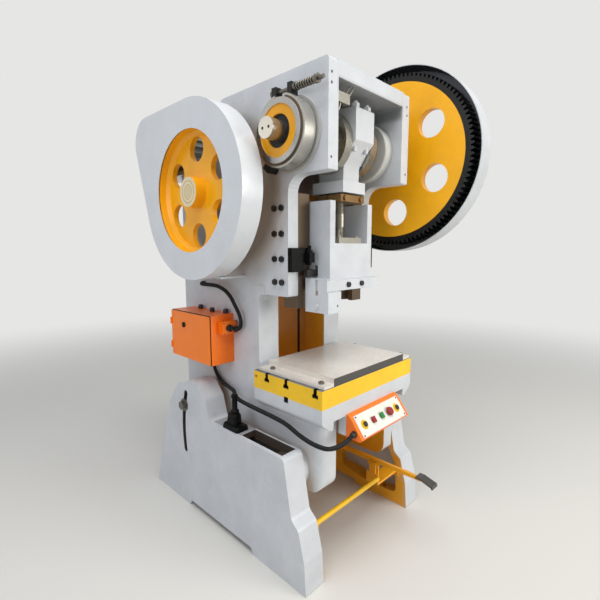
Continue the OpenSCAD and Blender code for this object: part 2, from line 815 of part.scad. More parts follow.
module motor_conduit() {
    color("#1f2022") place() {
        hose([
            [-frame_x - 4, 690, 1213], [-frame_x - 18, 690, 1213], [-330, 660, 1212], [-331, 600, 1213],
            [-331, 520, 1210], [-330, 457, 1192], [-330, 410, 1162], [-330, 377, 1124],
                [-328, 352, 1090],
            [-324, 342, 1056], [-319, 350, 1024], [-318, 372, 1006], [-318, 396, 1004]
        ], 10);
        ycyl(12, -318, [380, 398], 1004);
        xcyl(15, [-frame_x - 14, -frame_x], 690, 1213);
        zcyl(16, -320, 470, [box_top, box_top + 22]);
        zcyl(16, -340, 560, [box_top, box_top + 22]);
        zcyl(16, -320, 700, [box_top, box_top + 22]);
    }
}

module panel_conduit() {
    color("#1f2022") place() {
        zcyl(16, -318, 600, [box_low - 22, box_low]);
        hose([
            [-318, 600, 815], [-318, 590, 775], [-318, 565, 735], [-318, 520, 702],
                [-318, 460, 686], [-322, 415, 678],
            [-345, 370, 672], [-361, 320, 668], [-366, 240, 664], [-366, 149, 660],
                [-364, 60, 655], [-362, -16, 645],
            [-360, -95, 620], [-358, -160, 608], [-354, -222, 607], [-338, -248, 609], [-300, -256, 608],
            [-243, -254, 610], [-205, -252, 620]
        ], 10);
        xcyl(15, [-206, -190], -252, 620);
    }
}

module knockout_stops() {
    color("#26282b") place() both_sides() {
        box([184, 299], [11, 36], [1330, 1404]);
        box([225.5, 299], [11, 36], [1300, 1334]);
        box([184, 216], [-16, 20], [1340, 1384]);
        zcyl(8, 200, 0, [1328, 1414]);
        translate([200, 0, 1384]) cylinder(r = 14, h = 10, $fn = 6);
    }
}

module grease_block() {
    color("#b98b52") place() {
        box([-wall_x, -141], [-166, -146], [1975, 2015]);
        bar([-190, -156, 1975], [-192, -150, 1950], 3);
        bar([-160, -156, 2013], [-129, -156, 2049], 3);
        bar([-142, -156, 2000], [-110, -160, 2049], 3);
    }
}

module tilt_clamp_bolts() {
    y = clamp_r * cos(clamp_a);
    z = pivot.y + clamp_r * sin(clamp_a);
    color("#55534e") place() both_sides() {
        xcyl(13.95, [wall_x, leg_out + 20], y, z);
        xcyl(34, [leg_out + 0.3, leg_out + 5], y, z);
        translate([leg_out + 5, y, z]) rotate([0, 90, 0]) cylinder(r = 25, h = 18, $fn = 6);
    }
}

// Crank
module crankshaft() {
    j = journal_r - fit;
    color("#8d8a83") place() difference() {
        union() {
            xcyl(41, [-450, -300], 0, crank_z);
            xcyl(j, [-308, -110], 0, crank_z);
            xcyl(130, [-115, -rod_w / 2 - 3], 0, crank_z);
            xcyl(pin_r - fit, [-rod_w / 2 - 4, rod_w / 2 + 4], 0, pin_z);
            xcyl(130, [rod_w / 2 + 3, 115], 0, crank_z);
            xcyl(j, [110, 308], 0, crank_z);
            xcyl(60 - fit, [300, 552], 0, crank_z);
            xcyl(78, [550.5, 562], 0, crank_z);
        }
        for (y = [-18, 18]) {
            xcyl(6, [-451, -434], y, crank_z);
        }
    }
}

module brake_drum() {
    color("#b3a07c") place() turned(0, crank_z, [
        [41, -374], [64, -374], [64, -384], [101, -384], [101, -388], [124, -388], [124, -312],
            [104, -312],
        [104, -366], [64, -366], [64, -312], [41, -312]
    ]);
}

module bull_gear() {
    x1 = gear_x + gear_face;
    color("#3a3a3b") place() difference() {
        translate([0, 0, crank_z]) {
            slab(gear_x, x1) difference() {
                polygon(toothed(gear_teeth, -shaft_slope));
                circle(r = 398, $fn = 144);
            }
            slab(gear_x, gear_x + 42) circle(r = 399, $fn = 144);
            slab(gear_x, x1) circle(r = 115);
        }
        xcyl(60, [gear_x - 1, x1 + 1], 0, crank_z);
        for (i = [0:5]) {
            xcyl(gear_hole_r, [gear_x - 1, gear_x + 43],
                270 * cos(24 + 60 * i), crank_z + 270 * sin(24 + 60 * i));
        }
    }
}

// Back shaft and flywheel
module pinion_shaft() {
    color("#4a4a4a") place() {
        xcyl(32 - fit, [-520, gear_x + gear_face + 4], shaft_y, shaft_z);
        xcyl(52, [gear_x - 20, gear_x + 1], shaft_y, shaft_z);
        translate([0, shaft_y, shaft_z]) slab(gear_x, gear_x + gear_face)
            polygon(toothed(pinion_teeth, 180 - shaft_slope + 180 / pinion_teeth));
    }
}

module flywheel() {
    color("#e0a628") place() difference() {
        turned(shaft_y, shaft_z, [
            [32, -520], [67, -520], [72, -470], [84, -468], [252, -468], [270, -484], [275, rim_x],
                [wheel_r, rim_x],
            each grooves(wheel_r, wheel_r - 18),
            [wheel_r, rim_x + wheel_w], [275, rim_x + wheel_w], [262, -443], [84, -443],
                [72, -436], [67, -350], [32, -350]
        ]);
        for (i = [0:5]) {
            xcyl(wheel_hole_r, [-475, -436], shaft_y + 194 * sin(60 * i), shaft_z + 194 * cos(60 * i));
        }
    }
}

module motor_pulley() {
    o = pulley_r + 6;
    color("#5a5a58") place() {
        xcyl(19 - fit, [-513, -345], motor_y, motor_z);
        turned(motor_y, motor_z, [
            [18, rim_x + 1], [o, rim_x + 1],
                each grooves(o, pulley_r - 10), [o, rim_x + wheel_w - 1], [18, rim_x + wheel_w - 1]
        ]);
    }
}

// Connecting rod
module rod_side() {
    polygon(rounded([
        [-rod_half_d, crank_z + 1, 6], [-rod_half_d, pin_z, 0], [rod_half_d, pin_z, 0],
            [rod_half_d, crank_z + 1, 6],
        [112, 1830, 40], [72, 1770, 60], [70, 1650, 0], [-70, 1650, 0], [-72, 1770, 60], [-112, 1830, 40]
    ]));
}

module connecting_rod() {
    w = rod_w / 2;
    color("#8e8b84") place() difference() {
        union() {
            intersection() {
                slab(-w, w) rod_side();
                along(-150, 150) polygon(rounded([
                    [-w, 1640, 0], [-w, 2000, 0], [w, 2000, 0], [w, 1640, 0]
                ]));
            }
            box([-82, 82], [-90, 90], [1648, 1699]);
        }
        xcyl(84, [-w - 1, w + 1], 0, pin_z);
        zcyl(screw_r, 0, 0, [1640, 1752]);
        for (x = [-42, 42]) {
            for (y = [-118, 118]) {
                zcyl(10, x, y, [1780, pin_z + 1]);
            }
        }
        both_sides() box([w - 10, w + 1], [-160, 160], [1698.9, 1775]);
    }
}

module rod_cap() {
    w = rod_w / 2;
    color("#8e8b84") place() difference() {
        union() {
            slab(-w, w) polygon(rounded([
                [-rod_half_d, pin_z, 0], [-rod_half_d, 1999, 10], [rod_half_d, 1999, 10],
                    [rod_half_d, pin_z, 0]
            ]));
            xcyl(110, [-w, w], 0, pin_z);
        }
        box([-w - 1, w + 1], [-150, 150], [pin_z - 120, pin_z]);
        xcyl(84, [-w - 1, w + 1], 0, pin_z);
        for (x = [-42, 42]) {
            for (y = [-118, 118]) {
                zcyl(10, x, y, [pin_z - 1, 2010]);
            }
        }
    }
}

module rod_bolts() {
    color("#2f3032") place() for (x = [-42, 42]) {
        for (y = [-118, 118]) {
            zcyl(9.95, x, y, [1820, 2026]);
            translate([x, y, 1999]) cylinder(r = 19, h = 18, $fn = 6);
        }
    }
}

module rod_bush() {
    w = rod_w / 2;
    color("#a8834f") place() difference() {
        xcyl(84, [-w + 0.5, w - 0.5], 0, pin_z);
        xcyl(pin_r, [-w - 1, w + 1], 0, pin_z);
    }
}

module screw_lock() {
    color("#a8834f") place() difference() {
        box([-86, 86], [-82, 82], [1609, 1640]);
        zcyl(screw_r, 0, 0, [1600, 1650]);
        for (x = [-58, 58]) {
            ycyl(8, x, [-83, -50], 1624);
        }
        box([-87, -27.9], [-3, 3], [1600, 1650]);
    }
    color("#2f3032") place() for (x = [-58, 58]) {
        ycyl(7.95, x, [-90, -50.1], 1624);
        translate([x, -82, 1624]) rotate([90, 0, 0]) cylinder(r = 13, h = 9, $fn = 6);
    }
}

module adjusting_screw() {
    color("#77746c") place() {
        zcyl(screw_r - fit, 0, 0, [ball_z + 20, 1745]);
        zcyl(screw_r + 4, 0, 0, [1500, 1560]);
        translate([0, 0, ball_z]) sphere(r = ball_r, $fn = 96);
    }
}

// Slide
// Room for the ball or screw over the swing that the modelled joints leave out
module swing_room(r, z) {
    zcyl(r, 0, 0, z);
    zcyl(r, 0, throw, z);
    box([-r, r], [0, throw], z);
}

module slide() {
    hw = slide_w / 2;
    color("#84817a") place() difference() {
        union() {
            translate([0, 0, slide_low_z]) linear_extrude(slide_top_z - slide_low_z) polygon([
                [-hw, -slide_front], [hw, -slide_front], [hw, 58], [190, 76], [190, 86], [hw, 104],
                    [hw, 145],
                [-hw, 145], [-hw, 104], [-190, 86], [-190, 76], [-hw, 58]
            ]);
            box([-191, 191], [-101, 25], [slide_low_z, slide_low_z + 47]);
        }
        // open pocket for the ball screw
        box([-121, 121], [-slide_front - 1, 90], [1424, slide_top_z + 1]);
        box([-121, 121], [80, 146], [1588, slide_top_z + 1]);
        swing_room(ball_r + 2, [ball_z - ball_r - 11, 1425]);
        zcyl(shank_r, 0, 0, [slide_low_z - 1, slide_low_z + shank_depth]);
        box([-70, 70], [-102, 0], [slide_low_z - 1, slide_low_z + 47.01]);
        box([-200, 200], [-10.3, 10.3], [1276.7, 1325]);
        for (x = [-50, 50]) {
            ycyl(8, x, [-1, 18], slide_low_z + 24);
        }
    }
}

module ball_retainer() {
    color("#b08a50") place() difference() {
        box([-84, 84], [-72, 89], [1424, 1450]);
        swing_room(ball_r + 2, [1423, 1436]);
        swing_room(screw_r + 2, [1423, 1451]);
    }
    color("#2f3032") place() for (x = [-66, 66]) {
        for (y = [-56, 74]) {
            translate([x, y, 1450]) cylinder(r = 9, h = 8, $fn = 6);
        }
    }
}

module shank_clamp() {
    color("#84817a") place() difference() {
        box([-69.9, 69.9], [-101, -0.5], [slide_low_z, slide_low_z + 46.9]);
        zcyl(shank_r, 0, 0, [slide_low_z - 1, slide_low_z + 50]);
        for (x = [-50, 50]) {
            ycyl(8, x, [-102, 1], slide_low_z + 24);
        }
    }
}

module shank_clamp_bolts() {
    color("#2f3032") place() for (x = [-50, 50]) {
        ycyl(7.95, x, [-101, 17], slide_low_z + 24);
        translate([x, -101, slide_low_z + 24]) rotate([90, 0, 0]) cylinder(r = 13, h = 9, $fn = 6);
    }
}

module feed_striker() {
    color("#8e8b84") place() {
        difference() {
            union() {
                box([-200, -191], [-103, 25], [1119, 1272]);
                box([-200, -112], [-110, -101], [1119, 1213]);
            }
            box([-201, -190], [-49, -35], [1196, 1266]);
            ycyl(6, -136, [-111, -100], 1150);
        }
        xcyl(7, [-206, -184], -45, 1146);
        translate([-200, -45, 1146]) rotate([0, -90, 0]) cylinder(r = 13, h = 9, $fn = 6);
        translate([-191, -45, 1146]) rotate([0, 90, 0]) cylinder(r = 13, h = 9, $fn = 6);
    }
}

module knockout_bar() {
    color("#4b4a47") place() box([-225, 225], [-10, 10], [1277, 1307]);
}

// Clutch trip
module push_rod() {
    color("#4b4a47") place() difference() {
        union() {
            zcyl(7, rod_x, rod_y, [340, 1560]);
            xcyl(17, [rod_x - 6, rod_x + 6], rod_y, 325);
            xcyl(15, [rod_x - 7, rod_x + 7], rod_y, 1560);
        }
        xcyl(10, [rod_x - 9, rod_x + 9], rod_y, 325);
        xcyl(6, [rod_x - 9, rod_x + 9], rod_y, 1560);
    }
}

module trip_lever() {
    color("#4b4a47") place() difference() {
        union() {
            xcyl(22, [rod_x + 11, rod_x + 23], trip_pivot.x, trip_pivot.y);
            slab(rod_x + 11, rod_x + 23) polygon([
                [trip_pivot.x + 4, trip_pivot.y - 20], [trip_pivot.x + 86, trip_pivot.y - 30],
                    [trip_pivot.x + 98, trip_pivot.y - 14],
                [trip_pivot.x + 94, trip_pivot.y - 4], [trip_pivot.x + 8, trip_pivot.y + 20]
            ]);
        }
        xcyl(10.05, [rod_x + 9, rod_x + 25], trip_pivot.x, trip_pivot.y);
    }
}

// Control box door and knobs
module control_door() {
    color("#dd7a35") place() difference() {
        union() {
            box([-440, -432.3], [box_front + 6, box_back - 2], [box_low + 4, box_top - 4]);
            for (z = [box_low + 40, box_top - 80]) {
                zcyl(4.5, -443, box_back - 1, [z, z + 36]);
            }
        }
        xcyl(9, [-441, -431], 674, lock_z);
    }
}

module door_lock() {
    color("#1f2022") place() {
        xcyl(8.9, [-444, -428], 674, lock_z);
        xcyl(14, [-446, -440.2], 674, lock_z);
        box([-450, -445], [671, 677], [lock_z - 11, lock_z + 11]);
    }
}

module isolator_knob() {
    color("#1f2022") place() {
        ycyl(8.95, -354, [386, 416], isolator_z);
        ycyl(17, -354, [384, 397.8], isolator_z);
        box([-358, -350], [376, 385], [isolator_z - 17, isolator_z + 17]);
    }
}

left_leg();
right_leg();
tilt_pins();
stay_rods();
pedal_bracket();
tilt_stop();
pedal_lever();
pedal_pad();
c_frame();
bolster_plate();
bolster_bolts();
gibs();
gib_screws();
crank_bushes();
brake_band();
brake_lining();
brake_spring();
back_shaft_bearings();
gear_guard();
belt_guard();
motor();
motor_plate();
v_belts();
control_box();
isolator_box();
button_box();
panel_plate();
motor_conduit();
panel_conduit();
knockout_stops();
grease_block();
tilt_clamp_bolts();
crankshaft();
brake_drum();
bull_gear();
flywheel();
pinion_shaft();
motor_pulley();
connecting_rod();
rod_cap();
rod_bolts();
rod_bush();
screw_lock();
adjusting_screw();
slide();
ball_retainer();
shank_clamp();
shank_clamp_bolts();
feed_striker();
knockout_bar();
push_rod();
trip_lever();
control_door();
door_lock();
isolator_knob();
button_left();
button_stop();
button_start();
button_emergency();
button_right();
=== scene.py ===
"""Looks of an open-back inclinable stamping press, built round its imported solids."""

import json
import logging
import math
from collections.abc import Sequence
from dataclasses import dataclass
from enum import Enum
from functools import cache

import bmesh
import bpy
from mathutils import Matrix, Vector

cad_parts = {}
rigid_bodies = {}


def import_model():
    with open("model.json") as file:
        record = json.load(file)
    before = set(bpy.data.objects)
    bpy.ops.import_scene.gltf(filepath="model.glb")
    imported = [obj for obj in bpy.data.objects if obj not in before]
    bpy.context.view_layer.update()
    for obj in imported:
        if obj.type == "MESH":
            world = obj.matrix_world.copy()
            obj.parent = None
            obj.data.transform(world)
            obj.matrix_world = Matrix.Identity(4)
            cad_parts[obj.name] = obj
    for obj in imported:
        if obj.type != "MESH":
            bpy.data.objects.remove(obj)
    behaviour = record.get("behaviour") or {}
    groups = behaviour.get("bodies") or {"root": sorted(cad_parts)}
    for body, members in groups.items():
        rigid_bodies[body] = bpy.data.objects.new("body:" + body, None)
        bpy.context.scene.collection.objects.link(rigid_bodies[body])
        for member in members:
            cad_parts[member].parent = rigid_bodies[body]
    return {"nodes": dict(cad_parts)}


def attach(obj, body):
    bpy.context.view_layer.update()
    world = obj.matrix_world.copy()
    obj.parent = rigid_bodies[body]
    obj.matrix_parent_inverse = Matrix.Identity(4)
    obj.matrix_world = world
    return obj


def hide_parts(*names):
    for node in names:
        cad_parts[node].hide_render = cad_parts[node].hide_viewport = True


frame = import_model()

LOG = logging.getLogger("stamping_press")

Node = bpy.types.Node
NodeTree = bpy.types.NodeTree
Socket = bpy.types.NodeSocket
Mesh = bpy.types.Mesh
Pair = tuple[float, float]
Point = tuple[float, float, float]
Sides = tuple[float, float, float, float]

# Millimetres in a metre, and a coordinate beyond every piece of the press
MM = 1000.0
FAR = 9.0
UP = Vector((0.0, 0.0, 1.0))
# The slide's line, and the axes of crank, back shaft and tilting pins as places along Y and Z. The
# back shaft lies SHAFT_REACH from the crank's axis, SHAFT_DROP below level
SLIDE_Y = -0.400
CRANK: Pair = (SLIDE_Y, 1.861)
SHAFT_REACH = 0.500
SHAFT_DROP = math.radians(24.2)
SHAFT: Pair = (CRANK[0] + SHAFT_REACH * math.cos(SHAFT_DROP), CRANK[1] - SHAFT_REACH * math.sin(SHAFT_DROP))
TILT_PINS: Pair = (SLIDE_Y, 0.430)


def linear(text: str) -> Sides:
    """Turns an sRGB hex colour into linear light.

    Args:
        text: Six hex digits, with or without a leading hash.

    Returns:
        Red, green, blue and alpha as shader values.
    """
    text = text.lstrip("#")
    parts = [int(text[i:i + 2], 16) / 255 for i in (0, 2, 4)]
    lit = [p / 12.92 if p <= 0.04045 else ((p + 0.055) / 1.055) ** 2.4 for p in parts]
    return (lit[0], lit[1], lit[2], 1.0)


def put(tree: NodeTree, kind: str, wires: dict | None = None, **settings: object) -> Node:
    """Adds one node with its settings and links.

    Args:
        tree: Tree that takes the node.
        kind: Blender's name of the node type.
        wires: Input name or number to what feeds it: a socket, a node for its first output, or a
            plain value.
        settings: Properties of the node.

    Returns:
        The new node.
    """
    node = tree.nodes.new(kind)
    for key, value in settings.items():
        setattr(node, key, value)
    for key, value in (wires or {}).items():
        if isinstance(value, (Node, Socket)):
            tree.links.new(value.outputs[0] if isinstance(value, Node) else value, node.inputs[key])
        else:
            node.inputs[key].default_value = value
    return node


def from_slide(place: Point) -> Vector:
    """Turns millimetres from the slide's line into metres in the press's own frame."""
    return Vector((place[0] / MM, place[1] / MM + SLIDE_Y, place[2] / MM))


@dataclass(frozen=True)
class Zone:
    """A region of a piece, in metres in the press's own frame.

    low and high are the corners of a box, centre and radii a ring about a line along X, and
    ball is a point with a radius round it.
    """

    low: Point = (-FAR, -FAR, -FAR)
    high: Point = (FAR, FAR, FAR)
    centre: Pair = (0.0, 0.0)
    radii: Pair = (0.0, FAR)
    ball: Sides | None = None
    both_sides: bool = False
    soft: float = 0.0006

    def mask(self, tree: NodeTree, place: Socket) -> Node:
        """Builds a mask that is 1 inside the region.

        Args:
            tree: Material tree.
            place: Object coordinates.

        Returns:
            The mask's node.
        """
        above, below = (0.0, 1.0), (1.0, 0.0)
        axes = list(put(tree, "ShaderNodeSeparateXYZ", {0: place}).outputs)
        if self.both_sides:
            axes[0] = put(tree, "ShaderNodeMath", {0: axes[0]}, operation="ABSOLUTE")
        limits = []
        for measure, low, high in zip(axes, self.low, self.high):
            if low > -FAR:
                limits.append((measure, low, above))
            if high < FAR:
                limits.append((measure, high, below))
        if self.radii != (0.0, FAR):
            flat = put(tree, "ShaderNodeCombineXYZ", {0: 0.0, 1: axes[1], 2: axes[2]})
            away = put(tree, "ShaderNodeVectorMath", {0: flat, 1: (0.0, *self.centre)}, operation="DISTANCE")
            if self.radii[0] > 0:
                limits.append((away.outputs["Value"], self.radii[0], above))
            limits.append((away.outputs["Value"], self.radii[1], below))
        if self.ball is not None:
            reach = put(tree, "ShaderNodeVectorMath", {0: place, 1: self.ball[:3]}, operation="DISTANCE")
            limits.append((reach.outputs["Value"], self.ball[3], below))
        mask = None
        for measure, limit, inside in limits:
            step = put(tree, "ShaderNodeMapRange", {
                0: measure, 1: limit - self.soft, 2: limit + self.soft, 3: inside[0], 4: inside[1]})
            if mask is not None:
                step = put(tree, "ShaderNodeMath", {0: mask, 1: step}, operation="MULTIPLY")
            mask = step
        return mask


@dataclass(frozen=True)
class Patch:
    """A region with another colour, sheen and metal share than the rest of the piece."""

    zone: Zone
    colour: str
    roughness: float = 0.4
    metallic: float = 0.0


class Grain(Enum):
    """How the surface was made, which sets the direction of its fine texture."""

    CAST = (1.0, 1.0, 1.0)
    ALONG_X = (0.04, 1.0, 1.0)
    ALONG_Z = (1.0, 1.0, 0.04)
    TURNED_X = (1.0, 0.02, 0.02)


# The spans of noise that tone, oil film and chips take, and of the edge test that wear takes
TONE_SPAN: Pair = (0.3, 0.7)
FILM_SPAN: Pair = (0.56, 0.78)
CHIP_SPAN: Pair = (0.62, 0.72)
EDGE_SPAN: Pair = (0.995, 0.80)
# How much tone lifts where it darkens by one, and how much finer the film is than the tone
TONE_LIFT = 0.4
FILM_FINER = 3.4
# How far full wear moves the chips' span, and how strongly it shows on an edge
CHIP_SHIFT = 0.22
WEAR_SHOWN = 1.6
CHIPS_PER_METRE = 95.0
# What the grain adds to the roughness, the wave under it, and the rounded share of a worn edge
SHEEN_SWING: Pair = (-0.05, 0.06)
WAVE_COARSER = 9.0
ROUNDED_SHARE = 0.5
BEVEL_SAMPLES = 4


@dataclass(frozen=True)
class Finish:
    """One finish, from the material's real name and how its surface was made.

    grain_mm is the real size of its fine texture, blotch_mm that of its uneven tone, and
    wear the share of an edge that shows the metal or primer under it.
    """

    name: str
    colour: str
    roughness: float = 0.42
    metallic: float = 0.0
    grain_mm: float = 1.6
    grain_depth: float = 0.12
    grain: Grain = Grain.CAST
    blotch_mm: float = 140.0
    blotch: float = 0.10
    dirt: str = "5b5346"
    dirt_share: float = 0.12
    worn: str = "8c8a84"
    wear: float = 0.35
    edge_mm: float = 2.5
    specular: float = 0.5
    coat: float = 0.0
    patches: tuple[Patch, ...] = ()

    @cache
    def make(self) -> bpy.types.Material:
        """Builds the material on its first call.

        Returns:
            The finished material, which all pieces with this finish share.
        """
        material = bpy.data.materials.new(self.name)
        material.use_nodes = True
        tree = material.node_tree
        tree.nodes.clear()
        place = put(tree, "ShaderNodeTexCoord").outputs["Object"]
        colour: Socket | Sides = linear(self.colour)
        rough: Node | float = self.roughness
        metal: Node | float = self.metallic
        for patch in self.patches:
            mask = patch.zone.mask(tree, place)
            dyed = put(tree, "ShaderNodeMix", {0: mask, 6: colour, 7: linear(patch.colour)}, data_type="RGBA")
            colour = dyed.outputs[2]
            rough = put(tree, "ShaderNodeMix", {0: mask, 2: rough, 3: patch.roughness})
            metal = put(tree, "ShaderNodeMix", {0: mask, 2: metal, 3: patch.metallic})
        colour = self._aged(tree, place, colour)
        sheen, bump = self._grained(tree, place)
        rough = put(tree, "ShaderNodeMath", {0: sheen, 1: rough}, operation="ADD", use_clamp=True)
        shader = put(tree, "ShaderNodeBsdfPrincipled", {
            "Base Color": colour, "Roughness": rough, "Metallic": metal, "Normal": bump,
            "Specular IOR Level": self.specular, "Coat Weight": self.coat})
        put(tree, "ShaderNodeOutputMaterial", {0: shader})
        return material

    def _aged(self, tree: NodeTree, place: Socket, colour: Socket | Sides) -> Socket:
        """Adds uneven tone, then a film of dust and oil, then rubbed edges.

        Args:
            tree: Material tree.
            place: Object coordinates.
            colour: The colour so far.

        Returns:
            The aged colour.
        """
        cloud = put(tree, "ShaderNodeTexNoise", {
            "Vector": place, "Scale": MM / self.blotch_mm, "Detail": 5.0, "Roughness": 0.6})
        tone = put(tree, "ShaderNodeMapRange", {
            0: cloud, 1: TONE_SPAN[0], 2: TONE_SPAN[1],
            3: 1.0 - self.blotch, 4: 1.0 + self.blotch * TONE_LIFT})
        toned = put(tree, "ShaderNodeMix", {0: 1.0, 6: colour, 7: tone},
                    data_type="RGBA", blend_type="MULTIPLY")
        film = put(tree, "ShaderNodeTexNoise", {
            "Vector": place, "Scale": MM * FILM_FINER / self.blotch_mm, "Detail": 8.0, "Roughness": 0.72})
        share = put(tree, "ShaderNodeMapRange", {
            0: film, 1: FILM_SPAN[0], 2: FILM_SPAN[1], 3: 0.0, 4: self.dirt_share})
        soiled = put(tree, "ShaderNodeMix", {0: share, 6: toned.outputs[2], 7: linear(self.dirt)},
                     data_type="RGBA").outputs[2]
        if self.wear == 0:
            return soiled
        # edges are rubbed through where the rounded normal leaves the true one
        corner = put(tree, "ShaderNodeBevel", {0: self.edge_mm / MM}, samples=BEVEL_SAMPLES)
        true = put(tree, "ShaderNodeNewGeometry").outputs["Normal"]
        match = put(tree, "ShaderNodeVectorMath", {0: corner, 1: true}, operation="DOT_PRODUCT")
        edge = put(tree, "ShaderNodeMapRange", {
            0: match.outputs["Value"], 1: EDGE_SPAN[0], 2: EDGE_SPAN[1], 3: 0.0, 4: 1.0})
        chips = put(tree, "ShaderNodeTexNoise", {
            "Vector": place, "Scale": CHIPS_PER_METRE, "Detail": 6.0, "Roughness": 0.7})
        shift = CHIP_SHIFT * self.wear
        chip = put(tree, "ShaderNodeMapRange", {
            0: chips, 1: CHIP_SPAN[0] - shift, 2: CHIP_SPAN[1] - shift, 3: 0.0, 4: 1.0})
        both = put(tree, "ShaderNodeMath", {0: edge, 1: chip}, operation="MULTIPLY")
        shown = min(1.0, self.wear * WEAR_SHOWN)
        share = put(tree, "ShaderNodeMath", {0: both, 1: shown}, operation="MULTIPLY")
        return put(tree, "ShaderNodeMix", {0: share, 6: soiled, 7: linear(self.worn)},
                   data_type="RGBA").outputs[2]

    def _grained(self, tree: NodeTree, place: Socket) -> tuple[Node, Node]:
        """Adds the fine grain in sheen and height.

        Args:
            tree: Material tree.
            place: Object coordinates.

        Returns:
            What the grain adds to the roughness, and the bumped normal.
        """
        stretched = put(tree, "ShaderNodeMapping", {"Vector": place, "Scale": self.grain.value})
        fine = put(tree, "ShaderNodeTexNoise", {
            "Vector": stretched, "Scale": MM / self.grain_mm, "Detail": 3.0, "Roughness": 0.55})
        sheen = put(tree, "ShaderNodeMapRange", {
            0: fine, 1: TONE_SPAN[0], 2: TONE_SPAN[1], 3: SHEEN_SWING[0], 4: SHEEN_SWING[1]})
        wave = put(tree, "ShaderNodeTexNoise", {
            "Vector": place, "Scale": MM / (self.grain_mm * WAVE_COARSER), "Detail": 2.0})
        height = put(tree, "ShaderNodeMath", {0: fine, 1: wave}, operation="ADD")
        bump = put(tree, "ShaderNodeBump", {
            "Strength": self.grain_depth, "Distance": self.grain_mm / MM, "Height": height})
        if self.edge_mm > 0:
            width = self.edge_mm * ROUNDED_SHARE / MM
            rounded = put(tree, "ShaderNodeBevel", {0: width}, samples=BEVEL_SAMPLES)
            tree.links.new(rounded.outputs[0], bump.inputs["Normal"])
        return sheen, bump


GREY, YELLOW, BAND, ORANGE, INNER_YELLOW = "cbced1", "e59f12", "f7c40c", "fd7708", "e9a413"
SHADE, CREAM, HUB_LINE = "1f1e1c", "e9e1cf", "b98a3e"
# Middles of the bed's bolt slots along Y, and half their width
SLOTS_Y = (-0.570, -0.400, -0.275)
SLOT_HALF = 0.0166
# The push-button plate's middle along Y and Z, its outer buttons along X and their collars' reach
PANEL_MIDDLE: Pair = (-0.6585, 0.6455)
PUSHERS: Pair = (-0.130, 0.128)
COLLAR_REACH = 0.0215
# The right leg's rooms as front, back, low and high
LEG_ROOMS = ((-0.590, 0.585, 0.012, 0.14), (-0.555, 0.530, 0.139, 0.27), (-0.475, 0.430, 0.269, 0.498))
# Ends along X of the flywheel's hub and of the back shaft in it
HUB_END = -0.5192
SHAFT_END = -0.5190

# Enamel on cast iron: a little glossy over a faint sand-cast grain, yellow inside and round the bed
FRAME_PAINT = Finish("enamel_on_cast_frame", GREY, 0.36, grain_mm=2.2, grain_depth=0.10, patches=(
    Patch(Zone(low=(-FAR, -0.160, 0.33), high=(0.2366, 0.4893, 1.70), both_sides=True), YELLOW),
    Patch(Zone(low=(-FAR, -0.56, 0.33), high=(0.1946, -0.15, 0.70), both_sides=True), YELLOW),
    Patch(Zone(low=(-FAR, -FAR, 0.757), high=(FAR, -0.1855, 0.8374)), BAND, 0.36),
    # a dark line along the bed's top edge under the bolster: oil with painted shade
    Patch(Zone(low=(-FAR, -FAR, 0.8376), high=(FAR, -0.1855, 0.8384)), SHADE, 0.45, 0.5),
    # painted shade inside the bed's bolt slots and in the small hole in each side of the bed
    *(Patch(Zone(low=(-FAR, y - SLOT_HALF, 0.7994), high=(0.3493, y + SLOT_HALF, 0.8378), both_sides=True),
            SHADE, 0.5) for y in SLOTS_Y),
    Patch(Zone(low=(0.28, -0.4135, 0.7355), high=(0.3493, -0.3865, 0.7625), both_sides=True), SHADE, 0.5),
    # painted shade under the head's roof, behind the crank and behind the flywheel
    Patch(Zone(low=(-FAR, -0.5830, 2.000), high=(0.2366, FAR, 2.0534), both_sides=True, soft=0.012),
          "33322f", 0.5),
    Patch(Zone(low=(-FAR, -0.180, 1.74), high=(0.2366, 0.075, 2.0534), both_sides=True, soft=0.03),
          "3c3a36", 0.5),
    Patch(Zone(centre=SHAFT, radii=(0.0, 0.36), high=(-0.2955, FAR, FAR), soft=0.03), "363431", 0.5)))
# The same on rougher castings: yellow inside, with painted shade in the left leg's hollow, the top pockets
# and the slot, and dark grease on the left leg's top
LEG_PAINT = Finish(
    "enamel_on_cast_legs", "c9cccf", 0.38, grain_mm=2.6, grain_depth=0.16, dirt_share=0.16, patches=(
        Patch(Zone(high=(0.3404, FAR, FAR), both_sides=True), INNER_YELLOW, 0.42),
        *(Patch(Zone(low=(0.3, front, low), high=(0.4265, back, high)), INNER_YELLOW, 0.42)
          for front, back, low, high in LEG_ROOMS),
        # painted shade in the left leg's hollow, in both top pockets and in the tilting slot
        Patch(Zone(low=(-0.4265, -0.475, 0.012), high=(-0.3404, 0.430, 0.5160)), "38342e", 0.6),
        Patch(Zone(low=(0.3492, -0.4608, 0.5042), high=(0.4328, -0.1872, 0.5443), both_sides=True),
              "4a3d34", 0.6),
        Patch(Zone(low=(-FAR, 0.22, 0.28), high=(0.4494, 0.34, 0.68), centre=TILT_PINS,
                   radii=(0.6784, 0.7116), both_sides=True), "45433f", 0.5),
        Patch(Zone(low=(-0.437, -0.186, 0.5443), high=(-0.3402, 0.030, 0.5460), soft=0.002), "4b4843", 0.5)))
# Enamel on sheet steel: paler, evener and glossier than on castings
GUARD_PAINT = Finish("enamel_on_sheet_steel", "d2d5d8", 0.24, grain_mm=1.2, grain_depth=0.04, blotch=0.05,
                     dirt_share=0.06, wear=0.25, coat=0.25)
# The same on the ring guard, blackened inside by grease and by painted shade
RING_GUARD = Finish("enamel_on_ring_guard", "c3c6c9", 0.33, grain_mm=1.2, grain_depth=0.04, patches=(
    Patch(Zone(centre=CRANK, radii=(0.0, 0.4725), low=(0.44, -FAR, -FAR), high=(0.5532, FAR, FAR)),
          "191919", 0.45),))
# Enamel on the motor's housing: a dull mid grey
MOTOR_PAINT = Finish("enamel_on_motor", "8f9290", 0.42, grain_mm=1.8)
